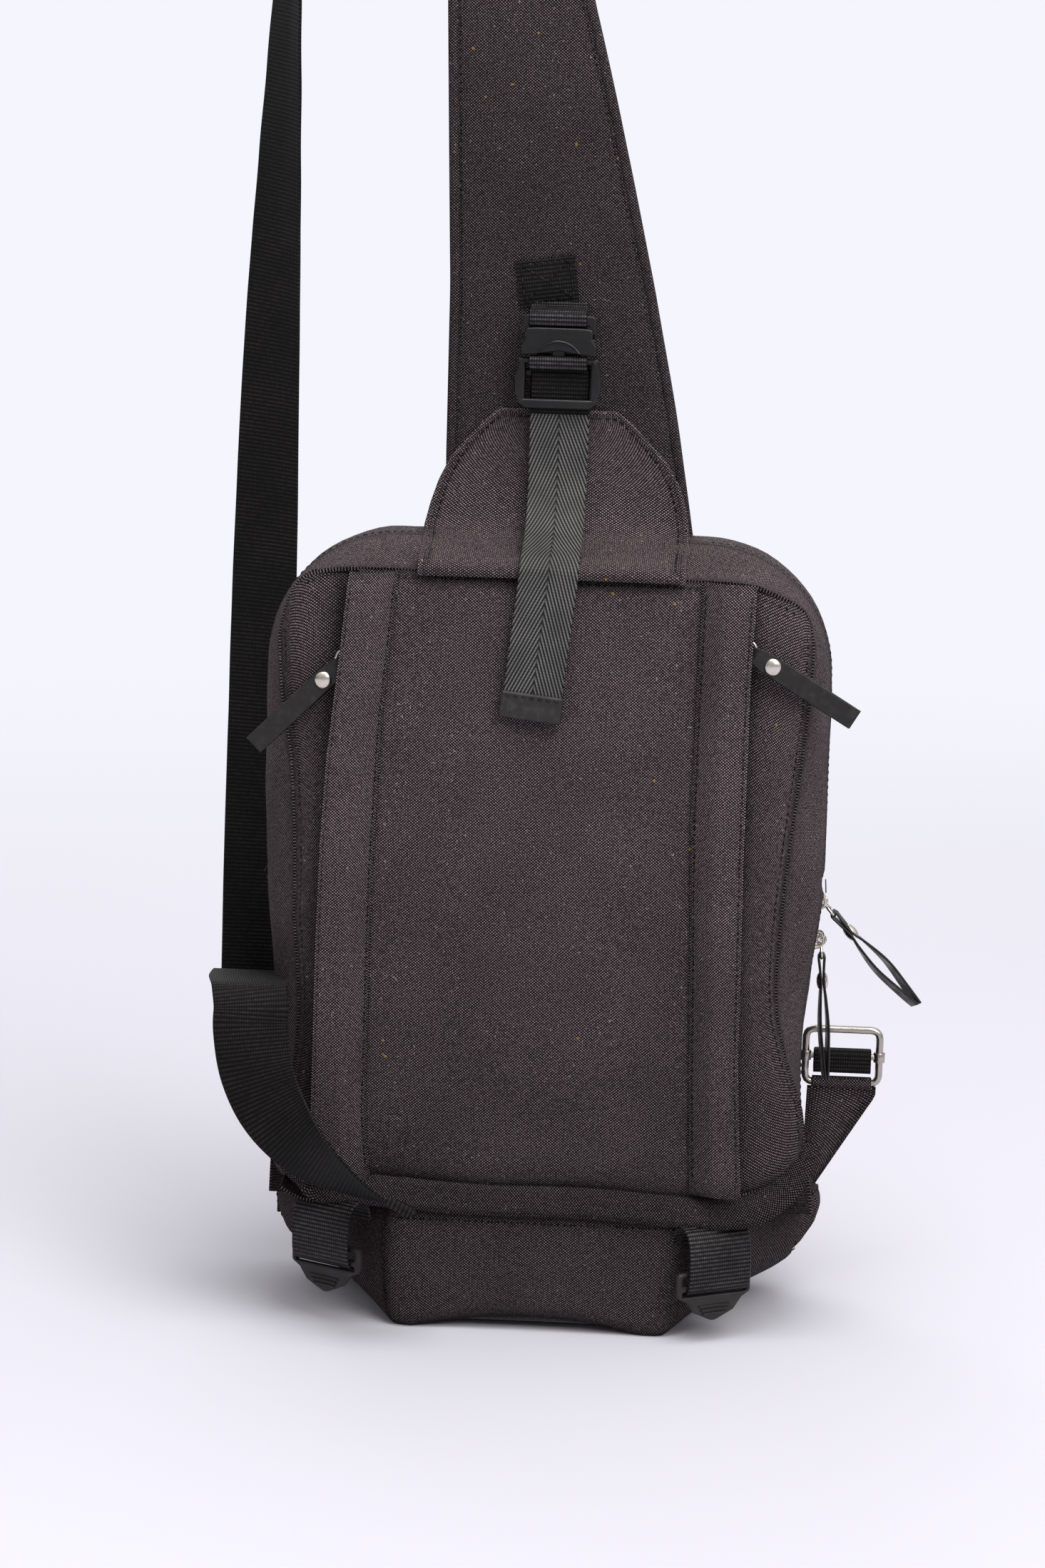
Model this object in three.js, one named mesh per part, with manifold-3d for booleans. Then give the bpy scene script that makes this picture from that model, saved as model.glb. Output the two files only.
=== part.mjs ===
// Canvas sling bag with a padded shoulder strap, a side-release buckle on the
// front and two leather-pulled zips down the front pocket.
// Millimetres, +X to the wearer's right hand side of the bag's face, -Y is the
// front, +Z is up. The origin is the middle of the underside.
import * as THREE from "three";
import { mergeVertices } from "three/addons/utils/BufferGeometryUtils.js";
import Module from "manifold-3d";

const wasm = await Module();
wasm.setup();

// ---------------------------------------------------------------- dimensions
const gap = 0.3; // clearance left between touching pieces
const cloth = 2.4; // canvas with its facing and lining
const wall = 3; // padded canvas of the main compartment

const tubTop = 52; // height of the stiff bottom section
const tubFrontHalf = 62; // half width of its front edge
const tubRearHalf = 121; // half width of its rear edge
const tubFrontY = -50;
const tubRearY = 60;

const bodyHalf = 125; // half width of the main compartment
const bodyTop = 357;
const bodyCorner = 52; // radius of its two top corners
const bodyFrontY = -15;
const zipPlaneY = 26.3; // the main zip runs round the sides in this plane

const lidHalf = 120; // half width of the hinged rear part
const lidTop = 352;
const lidHingeZ = 53.2;

const pocketHalf = 115; // half width of the front pocket
const pocketTop = 346;
const pocketCorner = 45;
const pocketBottomZ = 53;
const pocketFaceZ = 67.3; // lower seam of the flat front panels
const pocketFaceY = -50.6;

const zipSlotX = 86.5; // the pocket zips run upwards here
const zipSlotWidth = 5;
const flapSeamX = 70; // stitched edge of each zip flap
const flapEdgeX = 93.5; // free edge of each zip flap
const flapHingeY = -52;

const strapFaceY = -4; // front of the padded strap
const strapTop = 728;
const webbingWide = 34; // shoulder webbing
const webbingNarrow = 26; // buckle webbing
const webbingThick = 1.4;

const legX = -140; // the shoulder webbing comes down beside the bag here
const sliderX = 141.8; // middle of each strap slider
const sliderY = 47.5;
const sliderBottomZ = 98;
const sliderWidth = 38;
const sliderHeight = 29;
const sliderWire = 3.5;

const pullLength = 52;
const pullWidth = 9;
const pullThick = 2.4;

// ---------------------------------------------------------------- materials
const looks = {
  canvas: { color: 0x4f4a50, roughness: 0.95, metalness: 0 },
  lining: { color: 0x3a3a40, roughness: 0.9, metalness: 0 },
  foam: { color: 0x2d2d30, roughness: 1, metalness: 0 },
  blackWebbing: { color: 0x1c1c20, roughness: 0.8, metalness: 0 },
  greyWebbing: { color: 0x565a58, roughness: 0.85, metalness: 0 },
  plastic: { color: 0x17171a, roughness: 0.45, metalness: 0 },
  leather: { color: 0x1b1715, roughness: 0.5, metalness: 0 },
  metal: { color: 0xc9c4ba, roughness: 0.25, metalness: 1 },
  zip: { color: 0x232327, roughness: 0.6, metalness: 0 },
};

const bag = new THREE.Group();

function addPiece(name, geometry, look, parent = bag) {
  const mesh = new THREE.Mesh(geometry, new THREE.MeshStandardMaterial(looks[look]));
  mesh.name = name;
  parent.add(mesh);
  return mesh;
}

// ---------------------------------------------------------------- shaping
const axisX = new THREE.Vector3(1, 0, 0);
const axisY = new THREE.Vector3(0, 1, 0);
const axisZ = new THREE.Vector3(0, 0, 1);

function shapeFrom(points, hole) {
  const shape = new THREE.Shape(points.map(([a, b]) => new THREE.Vector2(a, b)));
  if (hole) shape.holes.push(new THREE.Path(hole.map(([a, b]) => new THREE.Vector2(a, b))));
  return shape;
}

// An outline seen from the front, given thickness between two Y values.
function extrudeFront(points, frontY, backY, hole) {
  const basis = new THREE.Matrix4().makeBasis(axisX, axisZ, axisY.clone().negate());
  const settings = { depth: backY - frontY, bevelEnabled: false };
  return new THREE.ExtrudeGeometry(shapeFrom(points, hole), settings).applyMatrix4(basis).translate(0, backY, 0);
}

// An outline seen from above, given height between two Z values.
function extrudeUp(points, bottomZ, topZ) {
  const settings = { depth: topZ - bottomZ, bevelEnabled: false };
  return new THREE.ExtrudeGeometry(shapeFrom(points), settings).translate(0, 0, bottomZ);
}

// A side profile of [y, z] points, given width between two X values.
function extrudeAcross(points, leftX, rightX) {
  const basis = new THREE.Matrix4().makeBasis(axisY, axisZ, axisX);
  const settings = { depth: rightX - leftX, bevelEnabled: false };
  return new THREE.ExtrudeGeometry(shapeFrom(points), settings).applyMatrix4(basis).translate(leftX, 0, 0);
}

function block(lowX, highX, lowY, highY, lowZ, highZ) {
  return new THREE.BoxGeometry(highX - lowX, highY - lowY, highZ - lowZ).translate(
    (lowX + highX) / 2,
    (lowY + highY) / 2,
    (lowZ + highZ) / 2,
  );
}

// A cylinder along X, Y or Z.
function rod(radius, length, axis, x, y, z, sides = 16) {
  const geometry = new THREE.CylinderGeometry(radius, radius, length, sides);
  if (axis === "x") geometry.rotateZ(Math.PI / 2);
  if (axis === "z") geometry.rotateX(Math.PI / 2);
  return geometry.translate(x, y, z);
}

// Moves a closed or open outline sideways by a distance, keeping its corners sharp.
function offsetLine(points, distance, closed) {
  const count = points.length;
  const direction = (from, to) => {
    const [a, b] = [points[(from + count) % count], points[(to + count) % count]];
    const length = Math.hypot(b[0] - a[0], b[1] - a[1]);
    return [(b[0] - a[0]) / length, (b[1] - a[1]) / length];
  };
  return points.map(([x, y], i) => {
    const before = closed || i > 0 ? direction(i - 1, i) : direction(i, i + 1);
    const after = closed || i < count - 1 ? direction(i, i + 1) : before;
    const side = [-(before[1] + after[1]), before[0] + after[0]];
    const stretch = 1 + before[0] * after[0] + before[1] * after[1];
    return [x + (side[0] * distance) / stretch, y + (side[1] * distance) / stretch];
  });
}

// The closed outline of a strip of the given thickness along a line.
function stripOutline(line, thickness) {
  const left = offsetLine(line, thickness / 2, false);
  const right = offsetLine(line, -thickness / 2, false);
  return [...right, ...left.reverse()];
}

// Corners given as [x, y, radius] become a polyline with rounded corners.
function roundCorners(corners, steps = 6) {
  const count = corners.length;
  return corners.flatMap(([x, y, radius = 0], i) => {
    if (radius === 0) return [[x, y]];
    const here = new THREE.Vector2(x, y);
    const before = new THREE.Vector2(...corners[(i + count - 1) % count].slice(0, 2)).sub(here).normalize();
    const after = new THREE.Vector2(...corners[(i + 1) % count].slice(0, 2)).sub(here).normalize();
    const halfAngle = Math.acos(THREE.MathUtils.clamp(before.dot(after), -1, 1)) / 2;
    const reach = radius / Math.tan(halfAngle);
    const middle = before.clone().add(after).normalize().multiplyScalar(radius / Math.sin(halfAngle)).add(here);
    const start = before.clone().multiplyScalar(reach).add(here).sub(middle);
    const end = after.clone().multiplyScalar(reach).add(here).sub(middle);
    const turn = Math.atan2(start.x * end.y - start.y * end.x, start.dot(end));
    return Array.from({ length: steps + 1 }, (_, k) => {
      const point = start.clone().rotateAround(new THREE.Vector2(), (turn * k) / steps).add(middle);
      return [point.x, point.y];
    });
  });
}

// Left foot, up, over and down to the right foot: the line the sides and top follow.
function archLine(halfWidth, top, corner, bottom) {
  const corners = [
    [-halfWidth, bottom],
    [-halfWidth, top, corner],
    [halfWidth, top, corner],
    [halfWidth, bottom],
  ];
  return roundCorners(corners);
}

// A band standing on two feet, of the given thickness inward from the arch.
function archBand(halfWidth, top, corner, bottom, thickness, frontY, backY) {
  const outer = archLine(halfWidth, top, corner, bottom);
  const inner = archLine(halfWidth - thickness, top - thickness, corner - thickness, bottom);
  return extrudeFront([...outer, ...inner.reverse()], frontY, backY);
}

// A strip of webbing that bends and twists through stations of [centre, across].
// Its last steps can be thicker, as a stitched hem is.
function sweptWebbing(stations, width, thickness, steps, hemSteps = 0, hemThickness = thickness) {
  const path = new THREE.CatmullRomCurve3(stations.map(([centre]) => new THREE.Vector3(...centre)));
  const sides = new THREE.CatmullRomCurve3(stations.map(([, across]) => new THREE.Vector3(...across)));
  const strip = new THREE.BoxGeometry(1, 1, 1, 1, 1, steps);
  const corner = strip.getAttribute("position");
  for (let i = 0; i < corner.count; i += 1) {
    const along = corner.getZ(i) + 0.5;
    const centre = path.getPoint(along);
    const forward = path.getTangent(along);
    const across = sides.getPoint(along);
    across.addScaledVector(forward, -across.dot(forward)).normalize();
    const outward = forward.clone().cross(across);
    centre.addScaledVector(across, corner.getX(i) * width);
    const hemmed = along * steps > steps - hemSteps - 0.5;
    centre.addScaledVector(outward, corner.getY(i) * (hemmed ? hemThickness : thickness));
    corner.setXYZ(i, centre.x, centre.y, centre.z);
  }
  return strip;
}

// ---------------------------------------------------------------- joining and cutting
function solidFrom(geometry) {
  const bare = geometry.clone();
  bare.deleteAttribute("normal");
  bare.deleteAttribute("uv");
  const merged = mergeVertices(bare, 1e-4);
  const vertProperties = merged.getAttribute("position").array;
  const triVerts = new Uint32Array(merged.getIndex().array);
  return new wasm.Manifold(new wasm.Mesh({ numProp: 3, vertProperties, triVerts }));
}

function geometryFrom(solid) {
  const mesh = solid.getMesh();
  const geometry = new THREE.BufferGeometry();
  geometry.setAttribute("position", new THREE.Float32BufferAttribute(mesh.vertProperties, 3));
  geometry.setIndex([...mesh.triVerts]);
  geometry.computeVertexNormals();
  return geometry;
}

function join(...pieces) {
  return geometryFrom(pieces.map(solidFrom).reduce((whole, piece) => whole.add(piece)));
}

function cut(base, ...tools) {
  return geometryFrom(tools.map(solidFrom).reduce((whole, tool) => whole.subtract(tool), solidFrom(base)));
}

function common(first, second) {
  return geometryFrom(solidFrom(first).intersect(solidFrom(second)));
}

// ---------------------------------------------------------------- bottom section
const tubCorner = 10;
const tubFlare = 20; // the slanted sides end this far behind the middle
const tubPlan = roundCorners(
  [
    [-tubFrontHalf, tubFrontY, tubCorner],
    [tubFrontHalf, tubFrontY, tubCorner],
    [tubRearHalf - 2, tubFlare, tubCorner],
    [tubRearHalf, tubRearY, tubCorner],
    [-tubRearHalf, tubRearY, tubCorner],
    [-(tubRearHalf - 2), tubFlare, tubCorner],
  ],
  3,
);
const tubInside = offsetLine(tubPlan, wall, true);
addPiece("bottom_tub", cut(extrudeUp(tubPlan, 0, tubTop), extrudeUp(tubInside, wall, tubTop + 1)), "canvas");

const boardThick = 3;
const boardPlan = offsetLine(tubPlan, wall + 2, true);
addPiece("base_board", extrudeUp(boardPlan, wall + gap, wall + gap + boardThick), "foam");

// ---------------------------------------------------------------- main compartment
const bodyFoot = tubTop + gap;
const gussetBackY = 22;
const wallBackY = bodyFrontY - gap;
const wallFrontY = wallBackY - cloth;
const gusset = archBand(bodyHalf, bodyTop, bodyCorner, bodyFoot, wall, bodyFrontY, gussetBackY);
addPiece("main_gusset", gusset, "canvas");
addPiece("main_front_wall", extrudeFront(archLine(bodyHalf, bodyTop, bodyCorner, bodyFoot), wallFrontY, wallBackY), "canvas");

const liningInset = wall + gap;
const lining = archBand(
  bodyHalf - liningInset,
  bodyTop - liningInset,
  bodyCorner - liningInset,
  bodyFoot + 1,
  1,
  bodyFrontY + gap,
  gussetBackY,
);
addPiece("main_lining", lining, "lining");

const slipPocket = roundCorners([
  [-78, 88, 8],
  [78, 88, 8],
  [78, 236],
  [-78, 236],
]);
addPiece("inner_slip_pocket", extrudeFront(slipPocket, bodyFrontY, bodyFrontY + 2), "lining");

// ---------------------------------------------------------------- main zip
// Two tapes carry a row of teeth each; the rows meet in one plane round the bag.
const zipHalf = 121.6;
const zipTopZ = 353.6;
const zipCorner = 48.6;
const zipFootZ = 62;
const tapeThick = 1.2;
const teethThick = 3;
const teethDepth = 1.9;

function zipHalfBand(tapeFrontY, tapeBackY, teethFrontY, teethBackY) {
  const tape = archBand(zipHalf - 1, zipTopZ - 1, zipCorner - 1, zipFootZ, tapeThick, tapeFrontY, tapeBackY);
  const teeth = archBand(zipHalf, zipTopZ, zipCorner, zipFootZ, teethThick, teethFrontY, teethBackY);
  return join(tape, teeth);
}
const teethGap = gap / 2;
const frontTeethY = zipPlaneY - teethGap - teethDepth;
const rearTeethY = zipPlaneY + teethGap + teethDepth;
addPiece("main_zip_front", zipHalfBand(gussetBackY + gap, zipPlaneY - 1, frontTeethY, zipPlaneY - teethGap), "zip");
addPiece("main_zip_rear", zipHalfBand(zipPlaneY + 1, 30.2, zipPlaneY + teethGap, rearTeethY), "zip");

// ---------------------------------------------------------------- hinged rear part
const rearGussetFrontY = 30.5;
const backPanelFrontY = tubRearY - wall;
const rearFoot = lidHingeZ + 0.4;
const lidCorner = 48;
const rearBand = archBand(lidHalf, lidTop, lidCorner, rearFoot, wall, rearGussetFrontY, backPanelFrontY - gap);
addPiece("rear_gusset", rearBand, "canvas");
addPiece("back_panel", extrudeFront(archLine(lidHalf, lidTop, lidCorner, rearFoot), backPanelFrontY, tubRearY), "canvas");
const foamInset = wall + 1;
const foamLine = archLine(lidHalf - foamInset, lidTop - foamInset, lidCorner - foamInset, rearFoot + 4);
const foamFrontY = 51.6;
addPiece("back_foam", extrudeFront(foamLine, foamFrontY, backPanelFrontY - gap), "foam");

// ---------------------------------------------------------------- front pocket
function pocketOutline(inset, bottom) {
  return roundCorners([
    [-(pocketHalf - inset), bottom, 22],
    [pocketHalf - inset, bottom, 22],
    [pocketHalf - inset, pocketTop - inset, pocketCorner - inset],
    [-(pocketHalf - inset), pocketTop - inset, pocketCorner - inset],
  ]);
}
const ringFrontY = pocketFaceY + cloth + gap;
const ringBackY = wallFrontY - gap;
const ringOuter = pocketOutline(0, pocketBottomZ);
const ringInner = pocketOutline(cloth, pocketBottomZ + cloth);
addPiece("pocket_gusset", extrudeFront(ringOuter, ringFrontY, ringBackY, ringInner), "canvas");

const facePlate = extrudeFront(pocketOutline(0, pocketBottomZ), pocketFaceY, pocketFaceY + cloth);
const slotInner = zipSlotX - zipSlotWidth / 2;
const slotOuter = zipSlotX + zipSlotWidth / 2;
const faceDepth = [pocketFaceY - 1, pocketFaceY + cloth + 1];
function facePiece(lowX, highX) {
  return common(facePlate, block(lowX, highX, ...faceDepth, pocketFaceZ, pocketTop + 1));
}
addPiece("front_side_panel_left", facePiece(-pocketHalf - 1, -slotOuter), "canvas");
addPiece("front_side_panel_right", facePiece(slotOuter, pocketHalf + 1), "canvas");

// The zip flaps are sewn flat below this height and free above it.
const flapSewnTopZ = 113.7;
const flapTopZ = 343;

// Seen from above, a flap rises from its seam to leave room for the slider.
const flapSection = [
  [flapSeamX, pocketFaceY - gap],
  [flapSeamX + 6, pocketFaceY - gap],
  [flapSeamX + 12, -58.1],
  [flapEdgeX, -58.1],
  [flapEdgeX, -59.7],
  [flapSeamX + 11, -59.7],
  [flapSeamX + 5, -53.6],
  [flapSeamX, -53.1],
];

// The rolled strip under the front panels, which the pocket's underside ends in.
const bandProfile = [
  [-48.2, 53.6],
  [-51.6, 54.2],
  [-53.6, 57.5],
  [-53.8, 62],
  [-52.4, 66],
  [-50.4, 67],
  [-48.2, 67],
];
addPiece("pocket_bottom_band", extrudeAcross(bandProfile, -108, 108), "canvas");

const sides = [
  { side: "left", sign: -1 },
  { side: "right", sign: 1 },
];

// Mirrors a geometry left to right for the left-hand copy.
function handed(geometry, sign) {
  if (sign > 0) return geometry;
  const mirrored = solidFrom(geometry).mirror([1, 0, 0]);
  return geometryFrom(mirrored);
}

const pocketZipLowZ = 76;
const pocketZipHighZ = 332;
for (const { side, sign } of sides) {
  const tape = block(zipSlotX - 6.5, zipSlotX + 6.5, -47.6, -46.8, pocketZipLowZ, pocketZipHighZ);
  const teeth = block(zipSlotX - 1.4, zipSlotX + 1.4, -50.2, -47, pocketZipLowZ + 2, pocketZipHighZ - 2);
  addPiece(`pocket_zip_${side}`, handed(join(tape, teeth), sign), "zip");

  const flap = extrudeUp(flapSection, flapSewnTopZ + gap, flapTopZ);
  addPiece(`zip_flap_${side}`, handed(flap, sign), "canvas");
}

// The centre panel carries the sewn-down lower end of each flap.
const sewnEnds = sides.map(({ sign }) => {
  const sewnSection = flapSection.map(([x, y]) => [x, y === pocketFaceY - gap ? pocketFaceY + 1 : y]);
  return handed(extrudeUp(sewnSection, 69, flapSewnTopZ), sign);
});
addPiece("front_centre_panel", join(facePiece(-slotInner, slotInner), ...sewnEnds), "canvas");

// ---------------------------------------------------------------- zip sliders and pulls
// A leather strip folded round a wire loop, held by one rivet. It hangs from the
// origin down -Z with its flat sides facing the front and back.
const loopRadius = 4.4;
const loopWire = 0.7;
const stripTop = -(loopRadius + 3.2);

function pullPieces(name, parent) {
  const loop = new THREE.TorusGeometry(loopRadius, loopWire, 6, 14).rotateX(Math.PI / 2).translate(0, 0, -2.4);
  addPiece(`${name}_loop`, loop, "metal", parent);
  const stripLow = stripTop - pullLength;
  const tongue = block(-pullWidth / 2, pullWidth / 2, -pullThick / 2, pullThick / 2, stripLow, stripTop);
  const rivetZ = stripTop - 8.6;
  const rivetHole = rod(1.7, pullThick + 2, "y", 0, 0, rivetZ, 12);
  addPiece(`${name}_leather`, cut(tongue, rivetHole), "leather", parent);
  const shank = rod(1.4, pullThick + 0.6, "y", 0, 0, rivetZ, 12);
  const capY = pullThick / 2 + gap + 0.35;
  const caps = [-capY, capY].map((y) => rod(3.8, 0.7, "y", 0, y, rivetZ, 16));
  addPiece(`${name}_rivet`, join(shank, ...caps), "metal", parent);
}

// The pocket pulls lie flat on the face, turned outward about the slider's post.
const pocketPulls = [
  { side: "left", sign: -1, postZ: 308, turn: 45 },
  { side: "right", sign: 1, postZ: 318, turn: -59 },
];
const pullPlaneY = -55.3;
for (const { side, sign, postZ, turn } of pocketPulls) {
  const group = new THREE.Group();
  group.position.set(sign * zipSlotX, 0, postZ);
  bag.add(group);
  const plate = block(-4.6, 4.6, -53.4, -50.9, -7, 6);
  const post = rod(1.3, 3.6, "y", 0, -55, 0, 12);
  addPiece(`pocket_slider_${side}`, join(plate, post), "metal", group);
  const swing = new THREE.Group();
  swing.position.set(0, pullPlaneY, 0);
  swing.rotation.y = THREE.MathUtils.degToRad(turn);
  group.add(swing);
  pullPieces(`pocket_pull_${side}`, swing);
}

// The main pulls hang on the right-hand side and turn about a cross post.
const mainPulls = [
  { place: "upper", postZ: 190, swingOut: 44 },
  { place: "lower", postZ: 172, swingOut: 4 },
];
const mainPostX = 127.4;
for (const { place, postZ, swingOut } of mainPulls) {
  const group = new THREE.Group();
  group.position.set(0, zipPlaneY, postZ);
  bag.add(group);
  const plate = block(zipHalf + gap, 124.6, -3.9, 3.9, -6.5, 6.5);
  const cheeks = [-3.1, 3.1].map((y) => block(124.4, 129, y - 0.5, y + 0.5, -2, 2));
  const pin = rod(0.9, 6.2, "y", mainPostX, 0, 0, 10);
  addPiece(`main_slider_${place}`, join(plate, pin, ...cheeks), "metal", group);
  const swing = new THREE.Group();
  swing.position.set(mainPostX, 0, 0);
  swing.rotation.y = THREE.MathUtils.degToRad(-swingOut);
  group.add(swing);
  // The link is an eye round the pin that widens to hold the leather.
  const eye = cut(rod(2.2, 3.2, "y", 0, 0, 0, 14), rod(1.25, 6, "y", 0, 0, 0, 14));
  const shank = block(-0.6, 0.6, -1.6, 1.6, -6, -1.8);
  addPiece(`main_pull_${place}_loop`, join(eye, shank), "metal", swing);
  const tongue = block(-pullThick / 2, pullThick / 2, -pullWidth / 2, pullWidth / 2, -6.4 - pullLength, -6.4);
  const rivetZ = -12.4;
  addPiece(`main_pull_${place}_leather`, cut(tongue, rod(1.7, pullThick + 2, "x", 0, 0, rivetZ, 12)), "leather", swing);
  const shankRod = rod(1.4, pullThick + 0.6, "x", 0, 0, rivetZ, 12);
  const capX = pullThick / 2 + gap + 0.35;
  const caps = [-capX, capX].map((x) => rod(3.8, 0.7, "x", x, 0, rivetZ, 16));
  addPiece(`main_pull_${place}_rivet`, join(shankRod, ...caps), "metal", swing);
}

// ---------------------------------------------------------------- padded shoulder strap
const strapOutline = roundCorners([
  [-48.5, bodyTop + gap],
  [61, bodyTop + gap],
  [51, 415],
  [39, 471],
  [19, 556],
  [6, 608],
  [-4, 668, 40],
  [-6, strapTop, 8],
  [-50, strapTop, 8],
  [-53, 600, 60],
  [-48.5, 469],
]);
addPiece("sling_strap", extrudeFront(strapOutline, strapFaceY, 4), "canvas");

// ---------------------------------------------------------------- buckle flap and webbing
const flapLine = [
  [-52.4, 340.5],
  [-51.6, 347.2],
  [-46, 349.6],
  [-24, 356.6],
  [-16.6, 361.2],
  [-11, 368.5],
  [-7.6, 386],
  [-6.6, 414],
];
const flapFront = roundCorners([
  [-57.5, 335],
  [-57.5, 362, 30],
  [-46.5, 393, 20],
  [-30, 414, 12],
  [30, 414, 14],
  [50, 392, 24],
  [60, 366, 24],
  [60, 335],
]);
const flapSheet = extrudeAcross(stripOutline(flapLine, 2.2), -70, 70);
addPiece("buckle_flap", common(flapSheet, extrudeFront(flapFront, -60, 10)), "canvas");

// The webbing climbs behind the buckle, folds over its bar and comes back down.
const narrowHalf = webbingNarrow / 2;
const foldLine = [
  [-9.6, 392],
  [-9.6, 434],
  [-10.4, 436.4],
  [-11.8, 437.2],
  [-13.2, 436.4],
  [-14, 434],
  [-14, 402],
  [-14.6, 388],
  [-18.6, 374],
  [-27, 364],
  [-40, 357.6],
  [-49.6, 354],
  [-54.4, 349.4],
];
addPiece("buckle_webbing", extrudeAcross(stripOutline(foldLine, 1.2), -narrowHalf + 1, narrowHalf + 1), "greyWebbing");

// The loose end below the seam leans a little to one side.
const tailTopZ = 347.6;
const tailLowZ = 292;
const tailLean = THREE.MathUtils.degToRad(6);
const tailGroup = new THREE.Group();
tailGroup.position.set(0.6, -55.4, tailTopZ);
tailGroup.rotation.y = tailLean;
bag.add(tailGroup);
const tailDrop = tailTopZ - tailLowZ;
const tailBlock = block(-narrowHalf, narrowHalf, -webbingThick / 2, webbingThick / 2, -tailDrop, 0);
addPiece("front_tail", tailBlock, "greyWebbing", tailGroup);
const capOuter = block(-narrowHalf - 1.2, narrowHalf + 1.2, -1.9, 1.9, -tailDrop - 10.4, -tailDrop - gap);
addPiece("front_tail_cap", capOuter, "leather", tailGroup);

// ---------------------------------------------------------------- side-release buckle
const buckleFrontY = -20.6;
const buckleBackY = -11.8;
const socketHalf = 16.5;
const socketLowZ = 440.2;
const socketTopZ = 452.4;
const barTopZ = 458.4;
const socketBody = block(-socketHalf, socketHalf, buckleFrontY, buckleBackY, socketLowZ, socketTopZ);
const socketPosts = [-1, 1].map((s) => {
  const [near, far] = [13.4, socketHalf];
  return block(Math.min(s * near, s * far), Math.max(s * near, s * far), -18.1, -13.8, socketTopZ - 1, barTopZ);
});
const socketBar = block(-socketHalf, socketHalf, -18.1, -13.8, 454.6, barTopZ);
const socketCavity = block(-14.3, 14.3, -18.6, -13.4, socketLowZ - 1, 451);
const socketWindows = block(-socketHalf - 1, socketHalf + 1, -18.6, -13.4, socketLowZ - 1, 449.8);
addPiece("buckle_socket", cut(join(socketBody, ...socketPosts, socketBar), socketCavity, socketWindows), "plastic");

const frameHalf = 18.5;
const frameLowZ = 417;
const frameTopZ = 439.2;
const rails = [-1, 1].map((s) => {
  const [near, far] = [14.6, frameHalf];
  return block(Math.min(s * near, s * far), Math.max(s * near, s * far), -18.6, -10.8, frameLowZ + 1, frameTopZ);
});
const topPlate = block(-frameHalf, frameHalf, -18.6, -15.1, 437, frameTopZ);
const foldBar = block(-15, 15, -12.9, -10.7, 430.6, 434);
const lowBar = block(-frameHalf, frameHalf, -18.6, -15.4, frameLowZ, 421);
const tongue = block(-3, 3, -18.2, -15.1, 439, 450.2);
addPiece("buckle_frame", join(...rails, topPlate, foldBar, lowBar, tongue), "plastic");

// Each prong springs outward into the socket's open side.
const prongOutline = [
  [9.6, 439.8],
  [13.6, 439.8],
  [13.6, 442.6],
  [16.4, 444.4],
  [16.4, 447.6],
  [13.2, 449.4],
  [11, 449.4],
  [9.6, 446],
];
for (const { side, sign } of sides) {
  addPiece(`buckle_prong_${side}`, handed(extrudeFront(prongOutline, -18.2, -15.1), sign), "plastic");
}

// Webbing that holds the socket: it loops the bar and is sewn under the patch.
const socketLoopLine = [
  [-5.2, 461],
  [-9, 461],
  [-18.4, 460],
  [-19.6, 458.6],
  [-19.6, 454.6],
  [-18.6, 453.4],
  [-13.1, 453.4],
  [-12.1, 454.6],
  [-12.1, 456.4],
  [-10.4, 457.6],
  [-5.2, 457.8],
];
const socketLoop = extrudeAcross(stripOutline(socketLoopLine, 1), -narrowHalf, narrowHalf);
addPiece("socket_loop_webbing", socketLoop, "blackWebbing");
const patchGroup = new THREE.Group();
patchGroup.position.set(-6.5, strapFaceY - gap - 0.9, 472.6);
patchGroup.rotation.y = THREE.MathUtils.degToRad(-8);
bag.add(patchGroup);
addPiece("socket_patch", block(-narrowHalf, narrowHalf, -0.9, 0.9, -9.6, 10), "blackWebbing", patchGroup);

// ---------------------------------------------------------------- shoulder webbing
const up = 1;
const legStations = [
  [[legX, 52, 118], [up, 0, 0]],
  [[legX, 52, 160], [up, 0, 0]],
  [[legX, 51, 250], [0.97, -0.24, 0]],
  [[-139, 49, 335], [0.86, -0.5, 0]],
  [[-136, 42, 431], [0.66, -0.75, 0]],
  [[-132.5, 32, 520], [0.48, -0.88, 0]],
  [[-130, 25, 594], [0.36, -0.93, 0]],
  [[-128, 18, 660], [0.2, -0.98, 0]],
  [[-124, 12, 716], [0.08, -1, 0]],
  [[-114, 8, 762], [0, -1, 0]],
  [[-97, 6, 790], [0, -1, 0]],
  [[-78, 5, 799], [0, -1, 0]],
  [[-58, 4, 792], [0.1, -1, 0]],
  [[-41, 3, 774], [0.5, -0.86, 0]],
  [[-31, 1, 756], [0.9, -0.4, 0]],
  [[-28, 0, 742], [1, 0, 0]],
  [[-28, 0, strapTop + 1], [1, 0, 0]],
];
addPiece("shoulder_webbing", sweptWebbing(legStations, webbingWide, webbingThick, 48), "blackWebbing");

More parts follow.
